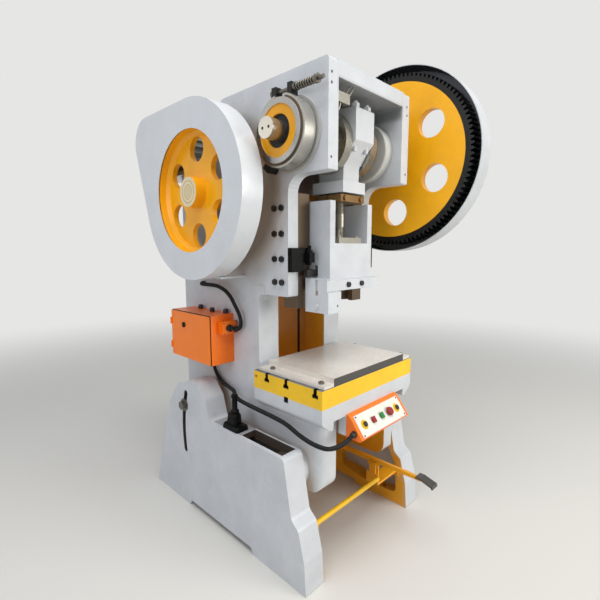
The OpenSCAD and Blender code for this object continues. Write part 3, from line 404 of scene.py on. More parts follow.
# Yellow enamel on cast iron: warm and glossy, with a ringed hub end and a bare turned rim
WHEEL_PAINT = Finish("yellow_enamel_flywheel", "fdb20a", 0.30, grain_mm=1.8, grain_depth=0.08, patches=(
    Patch(Zone(centre=SHAFT, radii=(0.0, 0.0675), high=(HUB_END, FAR, FAR)), "e4d6b0", 0.36, 0.3),
    Patch(Zone(centre=SHAFT, radii=(0.0, 0.0110), high=(HUB_END, FAR, FAR)), "a8651a", 0.45),
    *(Patch(Zone(centre=SHAFT, radii=radii, high=(HUB_END, FAR, FAR)), HUB_LINE, 0.45)
      for radii in ((0.0300, 0.0335), (0.0470, 0.0500))),
    Patch(Zone(centre=SHAFT, radii=(0.352, FAR)), "6f6d69", 0.35, 0.8)))
# Cut steel teeth: wet black grease, round a glossy yellow web
GEAR_PAINT = Finish(
    "yellow_web_greased_teeth", "191817", 0.30, 0.35, grain_mm=1.4, dirt="0c0b0a", wear=0.0, edge_mm=0.8,
    patches=(
        Patch(Zone(centre=CRANK, radii=(0.0, 0.3975)), "fdb508", 0.30),
        Patch(Zone(centre=CRANK, radii=(0.0, 0.085)), "55524c", 0.36, 0.8)))
# Turned steel: bright, in fine rings round the axis, with a yellow face and painted shade in the recess round
# the shaft's end
DRUM_STEEL = Finish(
    "turned_brake_drum", "bcbab5", 0.24, 0.88, grain=Grain.TURNED_X, grain_mm=1.0, wear=0.2, patches=(
        Patch(Zone(centre=CRANK, radii=(0.0, 0.1012)), "eda40e", 0.32),
        # painted shade in the recess round the shaft's end
        Patch(Zone(centre=CRANK, radii=(0.0, 0.064)), "12110f", 0.5, 0.2)))
# Yellow enamel on round bar: satin
STAY_PAINT = Finish("yellow_enamel_on_bar", "eebb14", 0.36, grain_mm=1.4)
# Powder coat on sheet: even colour under a fine orange-peel skin, with painted shade behind the door
ORANGE_PAINT = Finish(
    "orange_powder_coat", ORANGE, 0.36, grain_mm=0.9, grain_depth=0.10, blotch=0.06, wear=0.2, worn="c9c4bb",
    patches=(Patch(Zone(low=(-FAR, -FAR, 0.8), high=(-0.4312, FAR, FAR)), SHADE, 0.5),))
# The same on the door: painted a little brighter for the light on its face, with painted shade on its inner
# face
DOOR_PAINT = Finish(
    "orange_powder_coat_door", "ff8008", 0.32, grain_mm=0.9, grain_depth=0.10, blotch=0.05, wear=0.25,
    worn="d8d2c6", patches=(Patch(Zone(low=(-0.4335, -FAR, -FAR)), SHADE, 0.5),))
# Stove enamel on flat plate: pale and smooth, with yellow collars round the outer buttons
WHITE_PAINT = Finish("white_enamel_plate", "e6e2d8", 0.34, grain_mm=0.8, grain_depth=0.03, wear=0.15,
                     patches=tuple(Patch(Zone(ball=(x, *PANEL_MIDDLE, COLLAR_REACH)), "efc20e", 0.36)
                                   for x in PUSHERS))
# Blackened steel: dark and satin, with bright rubbed edges
DARK_STEEL = Finish("blackened_steel", "1f1f1d", 0.38, 0.4, grain_mm=0.9, wear=0.5, worn="8f8b84",
                    edge_mm=1.0)
# Bare cut steel under oil: warm grey and shiny
SCREW_STEEL = Finish("oiled_screw_steel", "77736a", 0.30, 0.9, grain_mm=0.8, wear=0.3, worn="b5b1a8",
                     edge_mm=1.0)
# Ground steel: fine bright rings round the axis, and a cream-painted end
SHAFT_STEEL = Finish("ground_shaft_steel", "a9a59a", 0.26, 0.9, grain=Grain.TURNED_X, grain_mm=0.7, wear=0.2,
                     worn="d0ccc2", edge_mm=1.5,
                     patches=(Patch(Zone(high=(-0.4488, FAR, FAR)), CREAM, 0.40, 0.15),))
# Cut steel under grease: dark and wet, with a pale end in the flywheel's hub
PINION_STEEL = Finish("greased_pinion", "2b2a28", 0.30, 0.7, grain_mm=1.0, wear=0.0, edge_mm=0.8,
                      patches=(Patch(Zone(high=(SHAFT_END, FAR, FAR)), "d8c9a0", 0.36, 0.4),))
# Enamel on machined castings: a flatter skin than on the frame
RAM_PAINT = Finish("enamel_on_rod_and_slide", "ced1d4", 0.34, grain_mm=1.8, grain_depth=0.08)
# Enamel on bearing housings: a warmer grey, with the bush's bronze round the shaft
HOUSING_PAINT = Finish("enamel_on_crank_housing", "c3c1bb", 0.38, grain_mm=1.8, grain_depth=0.10, patches=(
    Patch(Zone(centre=CRANK, radii=(0.0, 0.086)), "a07c4a", 0.34, 0.8),))
# Yellow enamel on flat bar: satin
PEDAL_PAINT = Finish("yellow_enamel_pedal", "eda410", 0.38, grain_mm=1.4)
# Scraped cast iron: browned by slideway oil and streaked along its travel
GIB_STEEL = Finish("scraped_gib", "5f4f3e", 0.38, 0.6, grain=Grain.ALONG_Z, grain_mm=1.0, wear=0.3,
                   worn="b0a89a", edge_mm=1.2)
# Ground steel: pale and softly streaked, with a near black front edge and painted shade along its underside
PLATE_STEEL = Finish(
    "ground_bolster_steel", "e4ddd3", 0.30, 0.25, grain=Grain.ALONG_X, grain_mm=0.8, grain_depth=0.05,
    wear=0.3, worn="f2efe9", patches=(
        Patch(Zone(low=(-0.274, -0.6065, 0.80), high=(0.274, -0.605, 0.8728)), "141312", 0.5, 0.3),
        # painted shade along the underside, where the plate sits on the bed
        Patch(Zone(high=(FAR, FAR, 0.8394)), "1b1a19", 0.5, 0.3)))
# Cast bronze under oil: brown and blotched, with golden edges
BRONZE = Finish("cast_bronze", "8b6d45", 0.36, 0.75, grain_mm=1.0, wear=0.3, worn="c2a26c", edge_mm=1.0,
                dirt="241c12", dirt_share=0.5, blotch_mm=60.0)
# Zinc-plated steel: pale and half bright
VALVE_METAL = Finish("plated_oil_divider", "a8a397", 0.32, 0.8, grain_mm=0.8, wear=0.2, worn="dcd8cf",
                     edge_mm=0.8)
# Black paint on cast steel: dull, with edges that catch light
JACK_STEEL = Finish("black_jack_steel", "0c0c0c", 0.46, 0.1, grain_mm=0.9, wear=0.3, worn="6a6862",
                    edge_mm=1.0, specular=0.12)
# Moulded rubber: matt and nearly black
BELT_RUBBER = Finish("belt_rubber", "1b1b1c", 0.62, grain_mm=0.8, wear=0.0, edge_mm=0.0, specular=0.3)
# Extruded vinyl: black and satin, with grey dust
HOSE_RUBBER = Finish("black_conduit", "0a0a0b", 0.50, grain_mm=0.8, wear=0.0, edge_mm=0.0, dirt="3a3630",
                     dirt_share=0.15, specular=0.3)
# Woven friction lining: dry, brown and coarse
LINING = Finish("woven_brake_lining", "6b5a45", 0.75, grain_depth=0.3, wear=0.0, edge_mm=0.0)
# Rolled steel plate: polished by shoes at its edges
PAD_STEEL = Finish("worn_pedal_plate", "5d5b57", 0.40, 0.8, grain_mm=1.0, wear=0.4, worn="c0bdb5",
                   edge_mm=0.8)
# Rolled steel strip: bright at its sides and dark on its outer face
BAND_STEEL = Finish("brake_band_steel", "bdb9b0", 0.30, 0.85, grain=Grain.TURNED_X, grain_mm=0.8, wear=0.2,
                    worn="dedbd3", edge_mm=0.8,
                    patches=(Patch(Zone(centre=CRANK, radii=(0.1405, FAR)), "1e1d1c", 0.42, 0.4),))
# Injection-moulded plastic: even colour under a satin skin
BLACK_PLASTIC, RED_PLASTIC, GREEN_PLASTIC = (
    Finish(f"moulded_{hue}_plastic", colour, sheen, grain_mm=0.6, grain_depth=0.04, wear=0.0, edge_mm=0.8)
    for hue, colour, sheen in (("black", "151617", 0.34), ("red", "8f1712", 0.32), ("green", "1f7a34", 0.32)))

DRESS: tuple[tuple[Finish, tuple[str, ...]], ...] = (
    (FRAME_PAINT, ("c_frame",)),
    (LEG_PAINT, ("left_leg", "right_leg", "tilt_pins")),
    (GUARD_PAINT, ("belt_guard", "motor_plate", "back_shaft_bearings")),
    (RING_GUARD, ("gear_guard",)),
    (MOTOR_PAINT, ("motor",)),
    (WHEEL_PAINT, ("flywheel",)),
    (GEAR_PAINT, ("bull_gear",)),
    (DRUM_STEEL, ("brake_drum",)),
    (STAY_PAINT, ("stay_rods",)),
    (ORANGE_PAINT, ("control_box", "isolator_box", "button_box")),
    (DOOR_PAINT, ("control_door",)),
    (WHITE_PAINT, ("panel_plate",)),
    (JACK_STEEL, ("tilt_stop", "knockout_stops")),
    (DARK_STEEL, ("gib_screws", "shank_clamp_bolts", "knockout_bar", "push_rod", "trip_lever")),
    (SCREW_STEEL, ("adjusting_screw", "bolster_bolts", "tilt_clamp_bolts", "brake_spring")),
    (SHAFT_STEEL, ("crankshaft",)),
    (PINION_STEEL, ("pinion_shaft", "motor_pulley")),
    (RAM_PAINT, ("slide", "shank_clamp", "connecting_rod", "rod_cap", "rod_bolts", "feed_striker")),
    (HOUSING_PAINT, ("crank_bushes",)),
    (PEDAL_PAINT, ("pedal_bracket", "pedal_lever")),
    (GIB_STEEL, ("gibs",)),
    (PLATE_STEEL, ("bolster_plate",)),
    (BRONZE, ("rod_bush", "screw_lock")),
    (VALVE_METAL, ("grease_block", "ball_retainer")),
    (BELT_RUBBER, ("v_belts",)),
    (HOSE_RUBBER, ("motor_conduit", "panel_conduit")),
    (LINING, ("brake_lining",)),
    (PAD_STEEL, ("pedal_pad",)),
    (BAND_STEEL, ("brake_band",)),
    (BLACK_PLASTIC, ("button_left", "button_right", "door_lock", "isolator_knob")),
    (RED_PLASTIC, ("button_stop", "button_emergency")),
    (GREEN_PLASTIC, ("button_start",)),
)


def dress_nodes() -> None:
    """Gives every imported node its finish."""
    for finish, nodes in DRESS:
        material = finish.make()
        for name in nodes:
            part = frame["nodes"][name]
            part.data.materials.clear()
            part.data.materials.append(material)
            LOG.info("node %s: %s", name, material.name)


def join_scene(name: str, mesh: Mesh, material: bpy.types.Material | None = None) -> bpy.types.Object:
    """Puts a mesh in the scene as a piece at the origin.

    Args:
        name: Name of the piece.
        mesh: Its mesh, with its place in it.
        material: Its finish, if the mesh has none yet.

    Returns:
        The piece.
    """
    piece = bpy.data.objects.new(name, mesh)
    bpy.context.scene.collection.objects.link(piece)
    if material is not None:
        mesh.materials.clear()
        mesh.materials.append(material)
    return piece


class Tree:
    """A Geometry Nodes tree with named inputs for its sizes."""

    def __init__(self, name: str, inputs: dict[str, str]) -> None:
        """Starts an empty tree.

        Args:
            name: Name of the tree.
            inputs: Input name to socket type.
        """
        self.tree = bpy.data.node_groups.new(name, "GeometryNodeTree")
        self.tree.interface.new_socket("Geometry", in_out="INPUT", socket_type="NodeSocketGeometry")
        self.sockets: dict[str, str] = {}
        for key, kind in inputs.items():
            socket = self.tree.interface.new_socket(key, in_out="INPUT", socket_type=kind)
            self.sockets[key] = socket.identifier
        self.tree.interface.new_socket("Geometry", in_out="OUTPUT", socket_type="NodeSocketGeometry")
        self.start = put(self.tree, "NodeGroupInput")

    def end(self, geometry: Node) -> None:
        """Ends the tree with real geometry and its material.

        Args:
            geometry: Node that gives what the tree has made.
        """
        real = put(self.tree, "GeometryNodeRealizeInstances", {0: geometry})
        dressed = put(self.tree, "GeometryNodeSetMaterial", {
            0: real, "Material": self.start.outputs["Material"]})
        put(self.tree, "NodeGroupOutput", {0: dressed})

    def bake(self, name: str, source: bpy.types.Object, values: dict[str, object]) -> bpy.types.Object:
        """Runs the tree on an object and keeps the result as a plain mesh.

        Args:
            name: Name of the new piece.
            source: Object that holds the points or the path. It is removed.
            values: Input name to its value.

        Returns:
            The finished piece.
        """
        step = source.modifiers.new("build", "NODES")
        step.node_group = self.tree
        for key, value in values.items():
            step[self.sockets[key]] = value
        graph = bpy.context.evaluated_depsgraph_get()
        graph.update()
        mesh = bpy.data.meshes.new_from_object(source.evaluated_get(graph), depsgraph=graph)
        source.modifiers.remove(step)
        bpy.data.objects.remove(source)
        mesh.name = name
        return join_scene(name, mesh)


def route_curve(name: str, points: list[Vector]) -> bpy.types.Object:
    """Makes a path object through points.

    Args:
        name: Name of the path.
        points: Where it goes, in metres.

    Returns:
        The path.
    """
    data = bpy.data.curves.new(name, "CURVE")
    data.dimensions = "3D"
    spline = data.splines.new("POLY")
    spline.points.add(len(points) - 1)
    for slot, point in zip(spline.points, points):
        slot.co = (*point, 1.0)
    path = bpy.data.objects.new(name, data)
    bpy.context.scene.collection.objects.link(path)
    return path


def smooth_route(points: tuple[Point, ...], steps: int = 8) -> list[Vector]:
    """Runs a smooth curve through points, as the source of the solids does.

    Args:
        points: The route in millimetres from the slide's line.
        steps: Points on each stretch.

    Returns:
        The curve in metres in the press's frame.
    """
    p = [from_slide(point) for point in points]
    out = []
    for i in range(len(p) - 1):
        a, b, c, d = p[max(i - 1, 0)], p[i], p[i + 1], p[min(i + 2, len(p) - 1)]
        for k in range(steps):
            t = k / steps
            bend = (2 * a - 5 * b + 4 * c - d) * t * t
            twist = (3 * b - a - 3 * c + d) * t ** 3
            out.append(0.5 * (2 * b + (c - a) * t + bend + twist))
    return out + [p[-1]]


def lathe(name: str, outline: Sequence[Pair], place: Vector, axis: Vector, sides: int) -> Mesh:
    """Turns an outline about an axis into a closed mesh.

    Args:
        name: Name of the mesh.
        outline: Radius and height pairs from one end of the axis to the other, in metres.
        place: Where height zero lies.
        axis: Direction of height.
        sides: Number of sides.

    Returns:
        The mesh, closed at both ends.
    """
    turn = axis.to_track_quat("Z", "Y").to_matrix()
    verts: list[Vector] = []
    faces: list[tuple[int, ...]] = []
    rings = []
    for radius, height in outline:
        rings.append(len(verts))
        for k in range(sides):
            a = 2 * math.pi * k / sides
            verts.append(place + turn @ Vector((radius * math.cos(a), radius * math.sin(a), height)))
    for lo, hi in zip(rings, rings[1:]):
        faces += [(lo + k, lo + (k + 1) % sides, hi + (k + 1) % sides, hi + k) for k in range(sides)]
    faces.append(tuple(range(rings[0] + sides - 1, rings[0] - 1, -1)))
    faces.append(tuple(range(rings[-1], rings[-1] + sides)))
    mesh = bpy.data.meshes.new(name)
    mesh.from_pydata(verts, [], faces)
    mesh.validate()
    return mesh


def merge(name: str, meshes: list[Mesh]) -> Mesh:
    """Joins meshes into one.

    Args:
        name: Name of the joined mesh.
        meshes: The meshes, which are removed.

    Returns:
        The joined mesh, its faces pointing outwards.
    """
    work = bmesh.new()
    for mesh in meshes:
        work.from_mesh(mesh)
        bpy.data.meshes.remove(mesh)
    bmesh.ops.recalc_face_normals(work, faces=work.faces)
    joined = bpy.data.meshes.new(name)
    work.to_mesh(joined)
    work.free()
    return joined


def shade(mesh: Mesh, angle: float = 35.0) -> None:
    """Smooths a mesh's faces but keeps edges sharper than an angle in degrees."""
    mesh.shade_smooth()
    mesh.set_sharp_from_angle(angle=math.radians(angle))


@dataclass
class Conduits:
    """The two ribbed black conduits with their glands, in place of the plain solids.

    Routes and glands are in millimetres from the slide's line, and a gland is its seat and the
    direction out of it. nut and cap are outlines of radius and height in metres.
    """

    radius: float = 0.0092
    rib: float = 0.0008
    pitch: float = 0.0045
    rings_per_pitch: float = 6.0
    ring_points: int = 14
    motor_route: tuple[Point, ...] = (
        (-297, 690, 1213), (-314, 690, 1213), (-330, 660, 1212), (-331, 600, 1213), (-331, 520, 1210),
        (-330, 457, 1192), (-330, 410, 1162), (-330, 377, 1124), (-328, 352, 1090), (-324, 342, 1056),
        (-319, 350, 1024), (-318, 372, 1006), (-318, 396, 1004))
    motor_glands: tuple[tuple[Point, Point], ...] = (
        ((-296, 690, 1213), (-1, 0, 0)), ((-318, 398, 1004), (0, -1, 0)), ((-320, 470, 1075), (0, 0, 1)),
        ((-340, 560, 1075), (0, 0, 1)), ((-320, 700, 1075), (0, 0, 1)))
    panel_route: tuple[Point, ...] = (
        (-318, 600, 815), (-318, 590, 775), (-318, 565, 735), (-318, 520, 702), (-318, 460, 686),
        (-322, 415, 678), (-345, 370, 672), (-361, 320, 668), (-366, 240, 664), (-366, 149, 660),
        (-364, 60, 655), (-362, -16, 645), (-360, -95, 620), (-358, -160, 608), (-354, -222, 607),
        (-338, -248, 609), (-300, -256, 608), (-243, -254, 610), (-205, -252, 620))
    panel_glands: tuple[tuple[Point, Point], ...] = (
        ((-318, 600, 825), (0, 0, -1)), ((-190, -252, 620), (-1, 0, 0)))
    nut: tuple[Pair, ...] = ((0.0140, 0.0), (0.0155, 0.0010), (0.0155, 0.0080), (0.0140, 0.0090))
    nut_sides: int = 6
    cap: tuple[Pair, ...] = (
        (0.0125, 0.0085), (0.0132, 0.0100), (0.0132, 0.0150), (0.0126, 0.0180), (0.0108, 0.0215),
        (0.0102, 0.0225))
    cap_sides: int = 24

    def tree(self) -> Tree:
        """Builds the tree that makes a ribbed tube along a path.

        Returns:
            The tree, with inputs for the tube's radius, its ribs' height and pitch, and its finish.
        """
        made = Tree("ribbed_tube", {"Radius": "NodeSocketFloat", "Rib": "NodeSocketFloat",
                                    "Pitch": "NodeSocketFloat", "Material": "NodeSocketMaterial"})
        tree, start = made.tree, made.start
        pitch, rib, radius = start.outputs["Pitch"], start.outputs["Rib"], start.outputs["Radius"]
        step = put(tree, "ShaderNodeMath", {0: pitch, 1: self.rings_per_pitch}, operation="DIVIDE")
        path = put(tree, "GeometryNodeResampleCurve",
                   {"Curve": start.outputs["Geometry"], "Length": step}, mode="LENGTH")
        along = put(tree, "GeometryNodeSplineParameter")
        turns = put(tree, "ShaderNodeMath", {0: along.outputs["Length"], 1: pitch}, operation="DIVIDE")
        angle = put(tree, "ShaderNodeMath", {0: turns, 1: 2 * math.pi}, operation="MULTIPLY")
        wave = put(tree, "ShaderNodeMath", {0: angle}, operation="SINE")
        thick = put(tree, "ShaderNodeMath", {0: wave, 1: rib, 2: radius}, operation="MULTIPLY_ADD")
        sized = put(tree, "GeometryNodeSetCurveRadius", {"Curve": path, "Radius": thick})
        ring = put(tree, "GeometryNodeCurvePrimitiveCircle", {"Resolution": self.ring_points, "Radius": 1.0})
        width = put(tree, "GeometryNodeInputRadius")
        tube = put(tree, "GeometryNodeCurveToMesh", {
            "Curve": sized, "Profile Curve": ring, "Scale": width, "Fill Caps": True})
        smooth = put(tree, "GeometryNodeSetShadeSmooth", {0: tube})
        made.end(smooth)
        return made

    def gland(self, place: Point, axis: Point) -> Mesh:
        """Makes one cable gland.

        Args:
            place: Its seat in millimetres from the slide's line.
            axis: Direction out of the seat.

        Returns:
            The gland's mesh.
        """
        seat, out = from_slide(place), Vector(axis)
        nut = lathe("nut", self.nut, seat, out, self.nut_sides)
        cap = lathe("cap", self.cap, seat, out, self.cap_sides)
        return merge("gland", [nut, cap])

    def build(self) -> None:
        """Makes both conduits and their glands."""
        tree = self.tree()
        for node, route, glands in (("motor_conduit", self.motor_route, self.motor_glands),
                                    ("panel_conduit", self.panel_route, self.panel_glands)):
            tube = tree.bake(node + "_ribbed", route_curve(node + "_path", smooth_route(route)), {
                "Radius": self.radius, "Rib": self.rib, "Pitch": self.pitch, "Material": HOSE_RUBBER.make()})
            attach(tube, "frame")
            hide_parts(node)
            ends = merge(node + "_glands", [self.gland(place, axis) for place, axis in glands])
            shade(ends)
            piece = join_scene(node + "_glands", ends, BLACK_PLASTIC.make())
            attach(piece, "frame")
            LOG.info("%s with %d glands", node, len(glands))


@dataclass
class ScrewThread:
    """The rolled thread of the adjusting screw where it shows between slide and rod.

    Sizes are in metres. crest is the thread's height over radius, and relief is how far the
    ends of a stretch lie inside radius.
    """

    radius: float = 0.0281
    crest: float = 0.0016
    pitch: float = 0.006
    relief: float = 0.0008
    lower: Pair = (1.4520, 1.4995)
    upper: Pair = (1.5605, 1.6075)
    rows_per_pitch: int = 8
    sides: int = 48
    sharp: float = 60.0

    def band(self, name: str, low: float, high: float) -> Mesh:
        """Makes one stretch of thread.

        Args:
            name: Name of the mesh.
            low: Lower end in metres.
            high: Upper end in metres.

        Returns:
            The mesh.
        """
        rows = int((high - low) / self.pitch * self.rows_per_pitch)
        shank = [(self.radius, low + (high - low) * k / rows) for k in range(rows + 1)]
        inner = self.radius - self.relief
        mesh = lathe(name, [(inner, low), *shank, (inner, high)], Vector((0, SLIDE_Y, 0)), UP, self.sides)
        for vertex in mesh.vertices:
            x, y = vertex.co.x, vertex.co.y - SLIDE_Y
            turn = math.atan2(y, x) / (2 * math.pi)
            phase = (vertex.co.z / self.pitch - turn) % 1.0
            if math.hypot(x, y) > self.radius - self.relief / 2 and low < vertex.co.z < high:
                lift = 1 + self.crest * (1 - abs(2 * phase - 1)) / self.radius
                vertex.co.x, vertex.co.y = x * lift, y * lift + SLIDE_Y
        return mesh

    def build(self) -> None:
        """Makes the thread above and below the ratchet collar."""
        mesh = merge("screw_thread", [self.band("lower", *self.lower), self.band("upper", *self.upper)])
        shade(mesh, self.sharp)
        piece = join_scene("screw_thread", mesh, SCREW_STEEL.make())
        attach(piece, "screw")
        LOG.info("screw_thread: pitch %.0f mm", self.pitch * MM)


@dataclass
class CoverScrews:
    """Small socket screws that hold the push-button plate and the isolator's cover.

    head is an outline of radius and height in metres. The plate leans back by panel_tilt
    degrees, and its screws lie panel_across and panel_up from its middle.
    """

    head: tuple[Pair, ...] = (
        (0.0038, 0.0), (0.0040, 0.0007), (0.0038, 0.0022), (0.0033, 0.0028), (0.0019, 0.0028),
        (0.0017, 0.0010))
    head_sides: int = 20
    sharp: float = 40.0
    panel_tilt: float = 52.6
    panel_thick: float = 0.003
    panel_across: float = 0.163
    panel_up: float = 0.042
    cover_tilt: float = 90.0
    cover_x: Pair = (-0.3835, -0.3105)
    cover_y: float = -0.002
    cover_z: Pair = (0.9860, 1.0405)

    def tree(self) -> Tree:
        """Builds the tree that sets one head on every point.

        Returns:
            The tree, with inputs for the head, how it is turned and its finish.
        """
        made = Tree("screws_on_points", {"Head": "NodeSocketObject", "Turn": "NodeSocketVector",
                                         "Material": "NodeSocketMaterial"})
        tree, start = made.tree, made.start
        shape = put(tree, "GeometryNodeObjectInfo", {"Object": start.outputs["Head"]})
        seats = put(tree, "GeometryNodeMeshToPoints", {0: start.outputs["Geometry"]})
        heads = put(tree, "GeometryNodeInstanceOnPoints", {
            "Points": seats, "Instance": shape.outputs["Geometry"], "Rotation": start.outputs["Turn"]})
        made.end(heads)
        return made

    def panel_seats(self) -> list[Vector]:
        """Works out where the push-button plate's screws sit.

        Returns:
            The four corners of its face, in metres.
        """
        tilt = math.radians(self.panel_tilt)
        away = Vector((0.0, -math.sin(tilt), math.cos(tilt))) * self.panel_thick
        up = Vector((0.0, math.cos(tilt), math.sin(tilt))) * self.panel_up
        middle = Vector((0.0, *PANEL_MIDDLE)) + away
        return [middle + Vector((x, 0.0, 0.0)) + up * side
                for x in (-self.panel_across, self.panel_across) for side in (-1, 1)]

    def build(self) -> None:
        """Makes both sets of screws."""
        tree = self.tree()
        head_mesh = lathe("screw_head", self.head, Vector((0, 0, 0)), UP, self.head_sides)
        shade(head_mesh, self.sharp)
        head = join_scene("screw_head", head_mesh)
        cover = [Vector((x, self.cover_y, z)) for x in self.cover_x for z in self.cover_z]
        for name, seats, turn in (("panel_screws", self.panel_seats(), self.panel_tilt),
                                  ("cover_screws", cover, self.cover_tilt)):
            mesh = bpy.data.meshes.new(name + "_seats")
            mesh.from_pydata(seats, [], [])
            piece = tree.bake(name, join_scene(name + "_seats", mesh), {
                "Head": head, "Turn": (math.radians(turn), 0.0, 0.0), "Material": SCREW_STEEL.make()})
            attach(piece, "frame")
            LOG.info("%s: %d heads", name, len(seats))
        bpy.data.objects.remove(head)


@dataclass
class JackBody:
    """The jack's cast foot, block and threaded sleeve on the left leg, round the thinner solid.

    Sizes are in metres. foot and block are left, right, front and back from the jack's middle,
    lean is how far their sides come in at the top and shoulder the share of it reached just
    below the top, and sleeve and bolt are outlines of radius and height.
    """

    middle: Pair = (-0.405, 0.296)
    seat: float = 0.5453
    foot: Sides = (-0.037, 0.037, -0.062, 0.058)
    foot_high: float = 0.022
    foot_lean: float = 0.005
    block: Sides = (-0.026, 0.024, -0.030, 0.036)
    block_high: float = 0.074
    block_lean: float = 0.006
    block_sunk: float = 0.002
    corner_cut: float = 0.009
    shoulder: float = 0.4
    sleeve: tuple[Pair, ...] = (
        (0.0190, 0.072), (0.0205, 0.076), (0.0205, 0.088), (0.0150, 0.092), (0.0130, 0.096), (0.0130, 0.150),
        (0.0165, 0.153), (0.0165, 0.164), (0.0140, 0.168), (0.0100, 0.170))
    sleeve_sides: int = 24
    bolt: tuple[Pair, ...] = ((0.0110, 0.0), (0.0120, 0.0010), (0.0120, 0.0080), (0.0110, 0.0090))
    bolt_sides: int = 6
    bolt_sunk: float = 0.001
    bolt_insets: Pair = (0.016, 0.013)
    sharp: float = 30.0

    def tapered(self, name: str, sides: Sides, low: float, high: float, lean: float) -> Mesh:
        """Makes a cast block with cut corners that narrows upwards.

        Args:
            name: Name of the mesh.
            sides: Left, right, front and back, from the jack's middle, in metres.
            low: Lower end above the seat.
            high: Upper end above the seat.
            lean: How far each side comes in.

        Returns:
            The block's mesh.
        """
        left, right, front, back = sides
        cut = self.corner_cut
        outline = [(left + cut, front), (right - cut, front), (right, front + cut), (right, back - cut),
                   (right - cut, back), (left + cut, back), (left, back - cut), (left, front + cut)]
        x0, y0 = self.middle[0], self.middle[1] + SLIDE_Y
        rows = ((low, 0.0), (high - lean, lean * self.shoulder), (high, lean))
        verts = [(x0 + x - math.copysign(inwards, x), y0 + y - math.copysign(inwards, y), self.seat + z)
                 for z, inwards in rows for x, y in outline]
        count = len(outline)
        faces = [tuple(range(count - 1, -1, -1)), tuple(range(2 * count, 3 * count))]
        for start in range(0, 2 * count, count):
            for k in range(count):
                after = (k + 1) % count
                faces.append((start + k, start + after, start + count + after, start + count + k))
        mesh = bpy.data.meshes.new(name)
        mesh.from_pydata(verts, [], faces)
        return mesh

    def build(self) -> None:
        """Makes the jack's body as one piece on the stand."""
        at = Vector((self.middle[0], self.middle[1] + SLIDE_Y, self.seat))
        parts = [self.tapered("foot", self.foot, 0.0, self.foot_high, self.foot_lean),
                 self.tapered("block", self.block, self.foot_high - self.block_sunk, self.block_high,
                              self.block_lean),
                 lathe("sleeve", self.sleeve, at, UP, self.sleeve_sides)]
        for y in (self.foot[2] + self.bolt_insets[0], self.foot[3] - self.bolt_insets[1]):
            seat = at + Vector((0.0, y, self.foot_high - self.bolt_sunk))
            parts.append(lathe("bolt", self.bolt, seat, UP, self.bolt_sides))
        mesh = merge("jack_body", parts)
        shade(mesh, self.sharp)
        piece = join_scene("jack_body", mesh, JACK_STEEL.make())
        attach(piece, "stand")
        LOG.info("jack_body: %d parts", len(parts))


@dataclass(frozen=True)
class Lamp:
    """One soft square lamp: place, aim and side in metres, power in watts, colour as sRGB hex."""

    name: str
    place: Point
    aim: Point
    side: float
    power: float
    colour: str = "ffffff"

    def hang(self) -> None:
        """Adds the lamp to the scene, turned to what it lights."""
        data = bpy.data.lights.new(self.name, "AREA")
        data.size, data.energy, data.color = self.side, self.power, linear(self.colour)[:3]
        lamp = bpy.data.objects.new(self.name, data)
        lamp.location = self.place
        lamp.rotation_euler = (Vector(self.aim) - Vector(self.place)).to_track_quat("-Z", "Y").to_euler()
        bpy.context.scene.collection.objects.link(lamp)


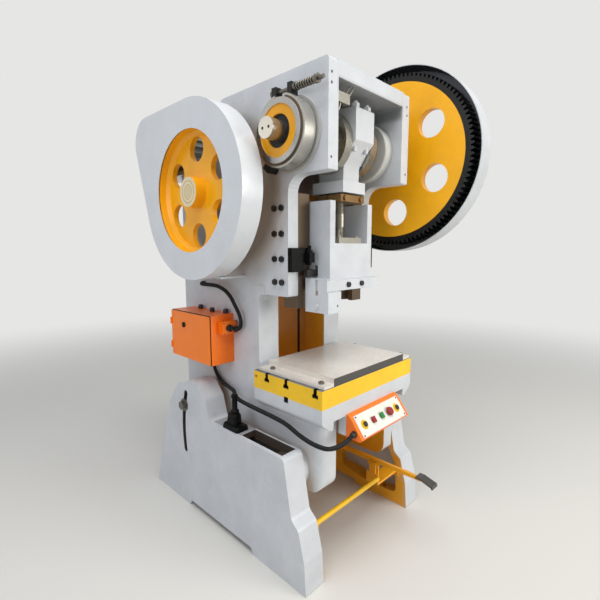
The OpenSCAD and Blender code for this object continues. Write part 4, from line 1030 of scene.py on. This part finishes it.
@dataclass
class Studio:
    """Pale floor, soft lamps and the photograph's camera.

    The camera's lens and sensor are in millimetres and its turns in degrees. The floor fades
    into the backdrop between the two distances of fade, in metres from the press.
    """

    eye: Point = (-1.52468, -1.62375, 1.40822)
    yaw: float = 45.92
    pitch: float = -7.44
    roll: float = -0.08
    lens: float = 24.39
    sensor: float = 36.0
    reach: float = 60.0
    floor_colour: str = "d9d6cf"
    floor_roughness: float = 0.55
    floor_half: float = 40.0
    fade: Pair = (2.4, 7.0)
    backdrop: str = "e6e6e4"
    fill_colour: str = "e6ecf4"
    fill_power: float = 0.42
    lamps: tuple[Lamp, ...] = (
        Lamp("roof_light", (-1.2, -1.5, 5.2), (0.0, 0.0, 1.0), 3.4, 165.0),
        Lamp("left_window", (-4.6, -0.4, 2.6), (0.0, 0.0, 1.1), 2.4, 42.0, "e9f0ff"),
        Lamp("front_key", (1.7, -4.8, 2.1), (0.0, 0.0, 1.0), 2.2, 135.0, "fffdf8"))

    def camera(self) -> None:
        """Makes the camera at the photograph's place."""
        data = bpy.data.cameras.new("photo_camera")
        data.lens, data.sensor_width, data.clip_end = self.lens, self.sensor, self.reach
        data.sensor_fit = "HORIZONTAL"
        eye = bpy.data.objects.new("photo_camera", data)
        turn = (Matrix.Rotation(math.radians(-self.yaw), 4, "Z")
                @ Matrix.Rotation(math.radians(90 + self.pitch), 4, "X")
                @ Matrix.Rotation(math.radians(self.roll), 4, "Z"))
        eye.matrix_world = Matrix.Translation(self.eye) @ turn
        bpy.context.scene.collection.objects.link(eye)
        bpy.context.scene.camera = eye

    @staticmethod
    def seen(tree: NodeTree) -> Node:
        """Finds the rays that show the backdrop: to the camera, mirrored or through glass.

        Args:
            tree: Tree of the floor or the world.

        Returns:
            A node that gives 1 for these rays.
        """
        rays = put(tree, "ShaderNodeLightPath").outputs
        mirrored = put(tree, "ShaderNodeMath", {0: rays["Is Camera Ray"], 1: rays["Is Glossy Ray"]},
                       operation="MAXIMUM")
        return put(tree, "ShaderNodeMath", {0: mirrored, 1: rays["Is Transmission Ray"]}, operation="MAXIMUM")

    def floor(self) -> None:
        """Makes the pale floor, which fades into the backdrop far from the press."""
        mesh = bpy.data.meshes.new("floor")
        half = self.floor_half
        mesh.from_pydata([(-half, -half, 0), (half, -half, 0), (half, half, 0), (-half, half, 0)], [],
                         [(0, 1, 2, 3)])
        floor = bpy.data.objects.new("floor", mesh)
        bpy.context.scene.collection.objects.link(floor)
        material = bpy.data.materials.new("pale_floor")
        material.use_nodes = True
        tree = material.node_tree
        tree.nodes.clear()
        matte = put(tree, "ShaderNodeBsdfPrincipled", {
            "Base Color": linear(self.floor_colour), "Roughness": self.floor_roughness})
        place = put(tree, "ShaderNodeTexCoord").outputs["Object"]
        away = put(tree, "ShaderNodeVectorMath", {0: place}, operation="LENGTH").outputs["Value"]
        fade = put(tree, "ShaderNodeMapRange", {0: away, 1: self.fade[0], 2: self.fade[1], 3: 0.0, 4: 1.0},
                   interpolation_type="SMOOTHSTEP")
        share = put(tree, "ShaderNodeMath", {0: fade, 1: self.seen(tree)}, operation="MULTIPLY")
        glow = put(tree, "ShaderNodeEmission", {0: linear(self.backdrop)})
        mixed = put(tree, "ShaderNodeMixShader", {0: share, 1: matte, 2: glow})
        put(tree, "ShaderNodeOutputMaterial", {0: mixed})
        mesh.materials.append(material)

    def light(self) -> None:
        """Sets the world and hangs the lamps."""
        world = bpy.data.worlds.new("studio")
        bpy.context.scene.world = world
        world.use_nodes = True
        tree = world.node_tree
        tree.nodes.clear()
        fill = put(tree, "ShaderNodeBackground", {0: linear(self.fill_colour), 1: self.fill_power})
        white = put(tree, "ShaderNodeBackground", {0: linear(self.backdrop), 1: 1.0})
        mixed = put(tree, "ShaderNodeMixShader", {0: self.seen(tree), 1: fill, 2: white})
        put(tree, "ShaderNodeOutputWorld", {0: mixed})
        for lamp in self.lamps:
            lamp.hang()

    def build(self) -> None:
        """Sets the whole stage."""
        self.camera()
        self.floor()
        self.light()
        bpy.context.scene.view_settings.view_transform = "Standard"


def main() -> None:
    """Builds the press in order."""
    logging.basicConfig(level=logging.INFO, format="%(message)s")
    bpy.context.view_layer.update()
    Studio().build()
    dress_nodes()
    Conduits().build()
    ScrewThread().build()
    CoverScrews().build()
    JackBody().build()


if __name__ == "__main__":
    main()
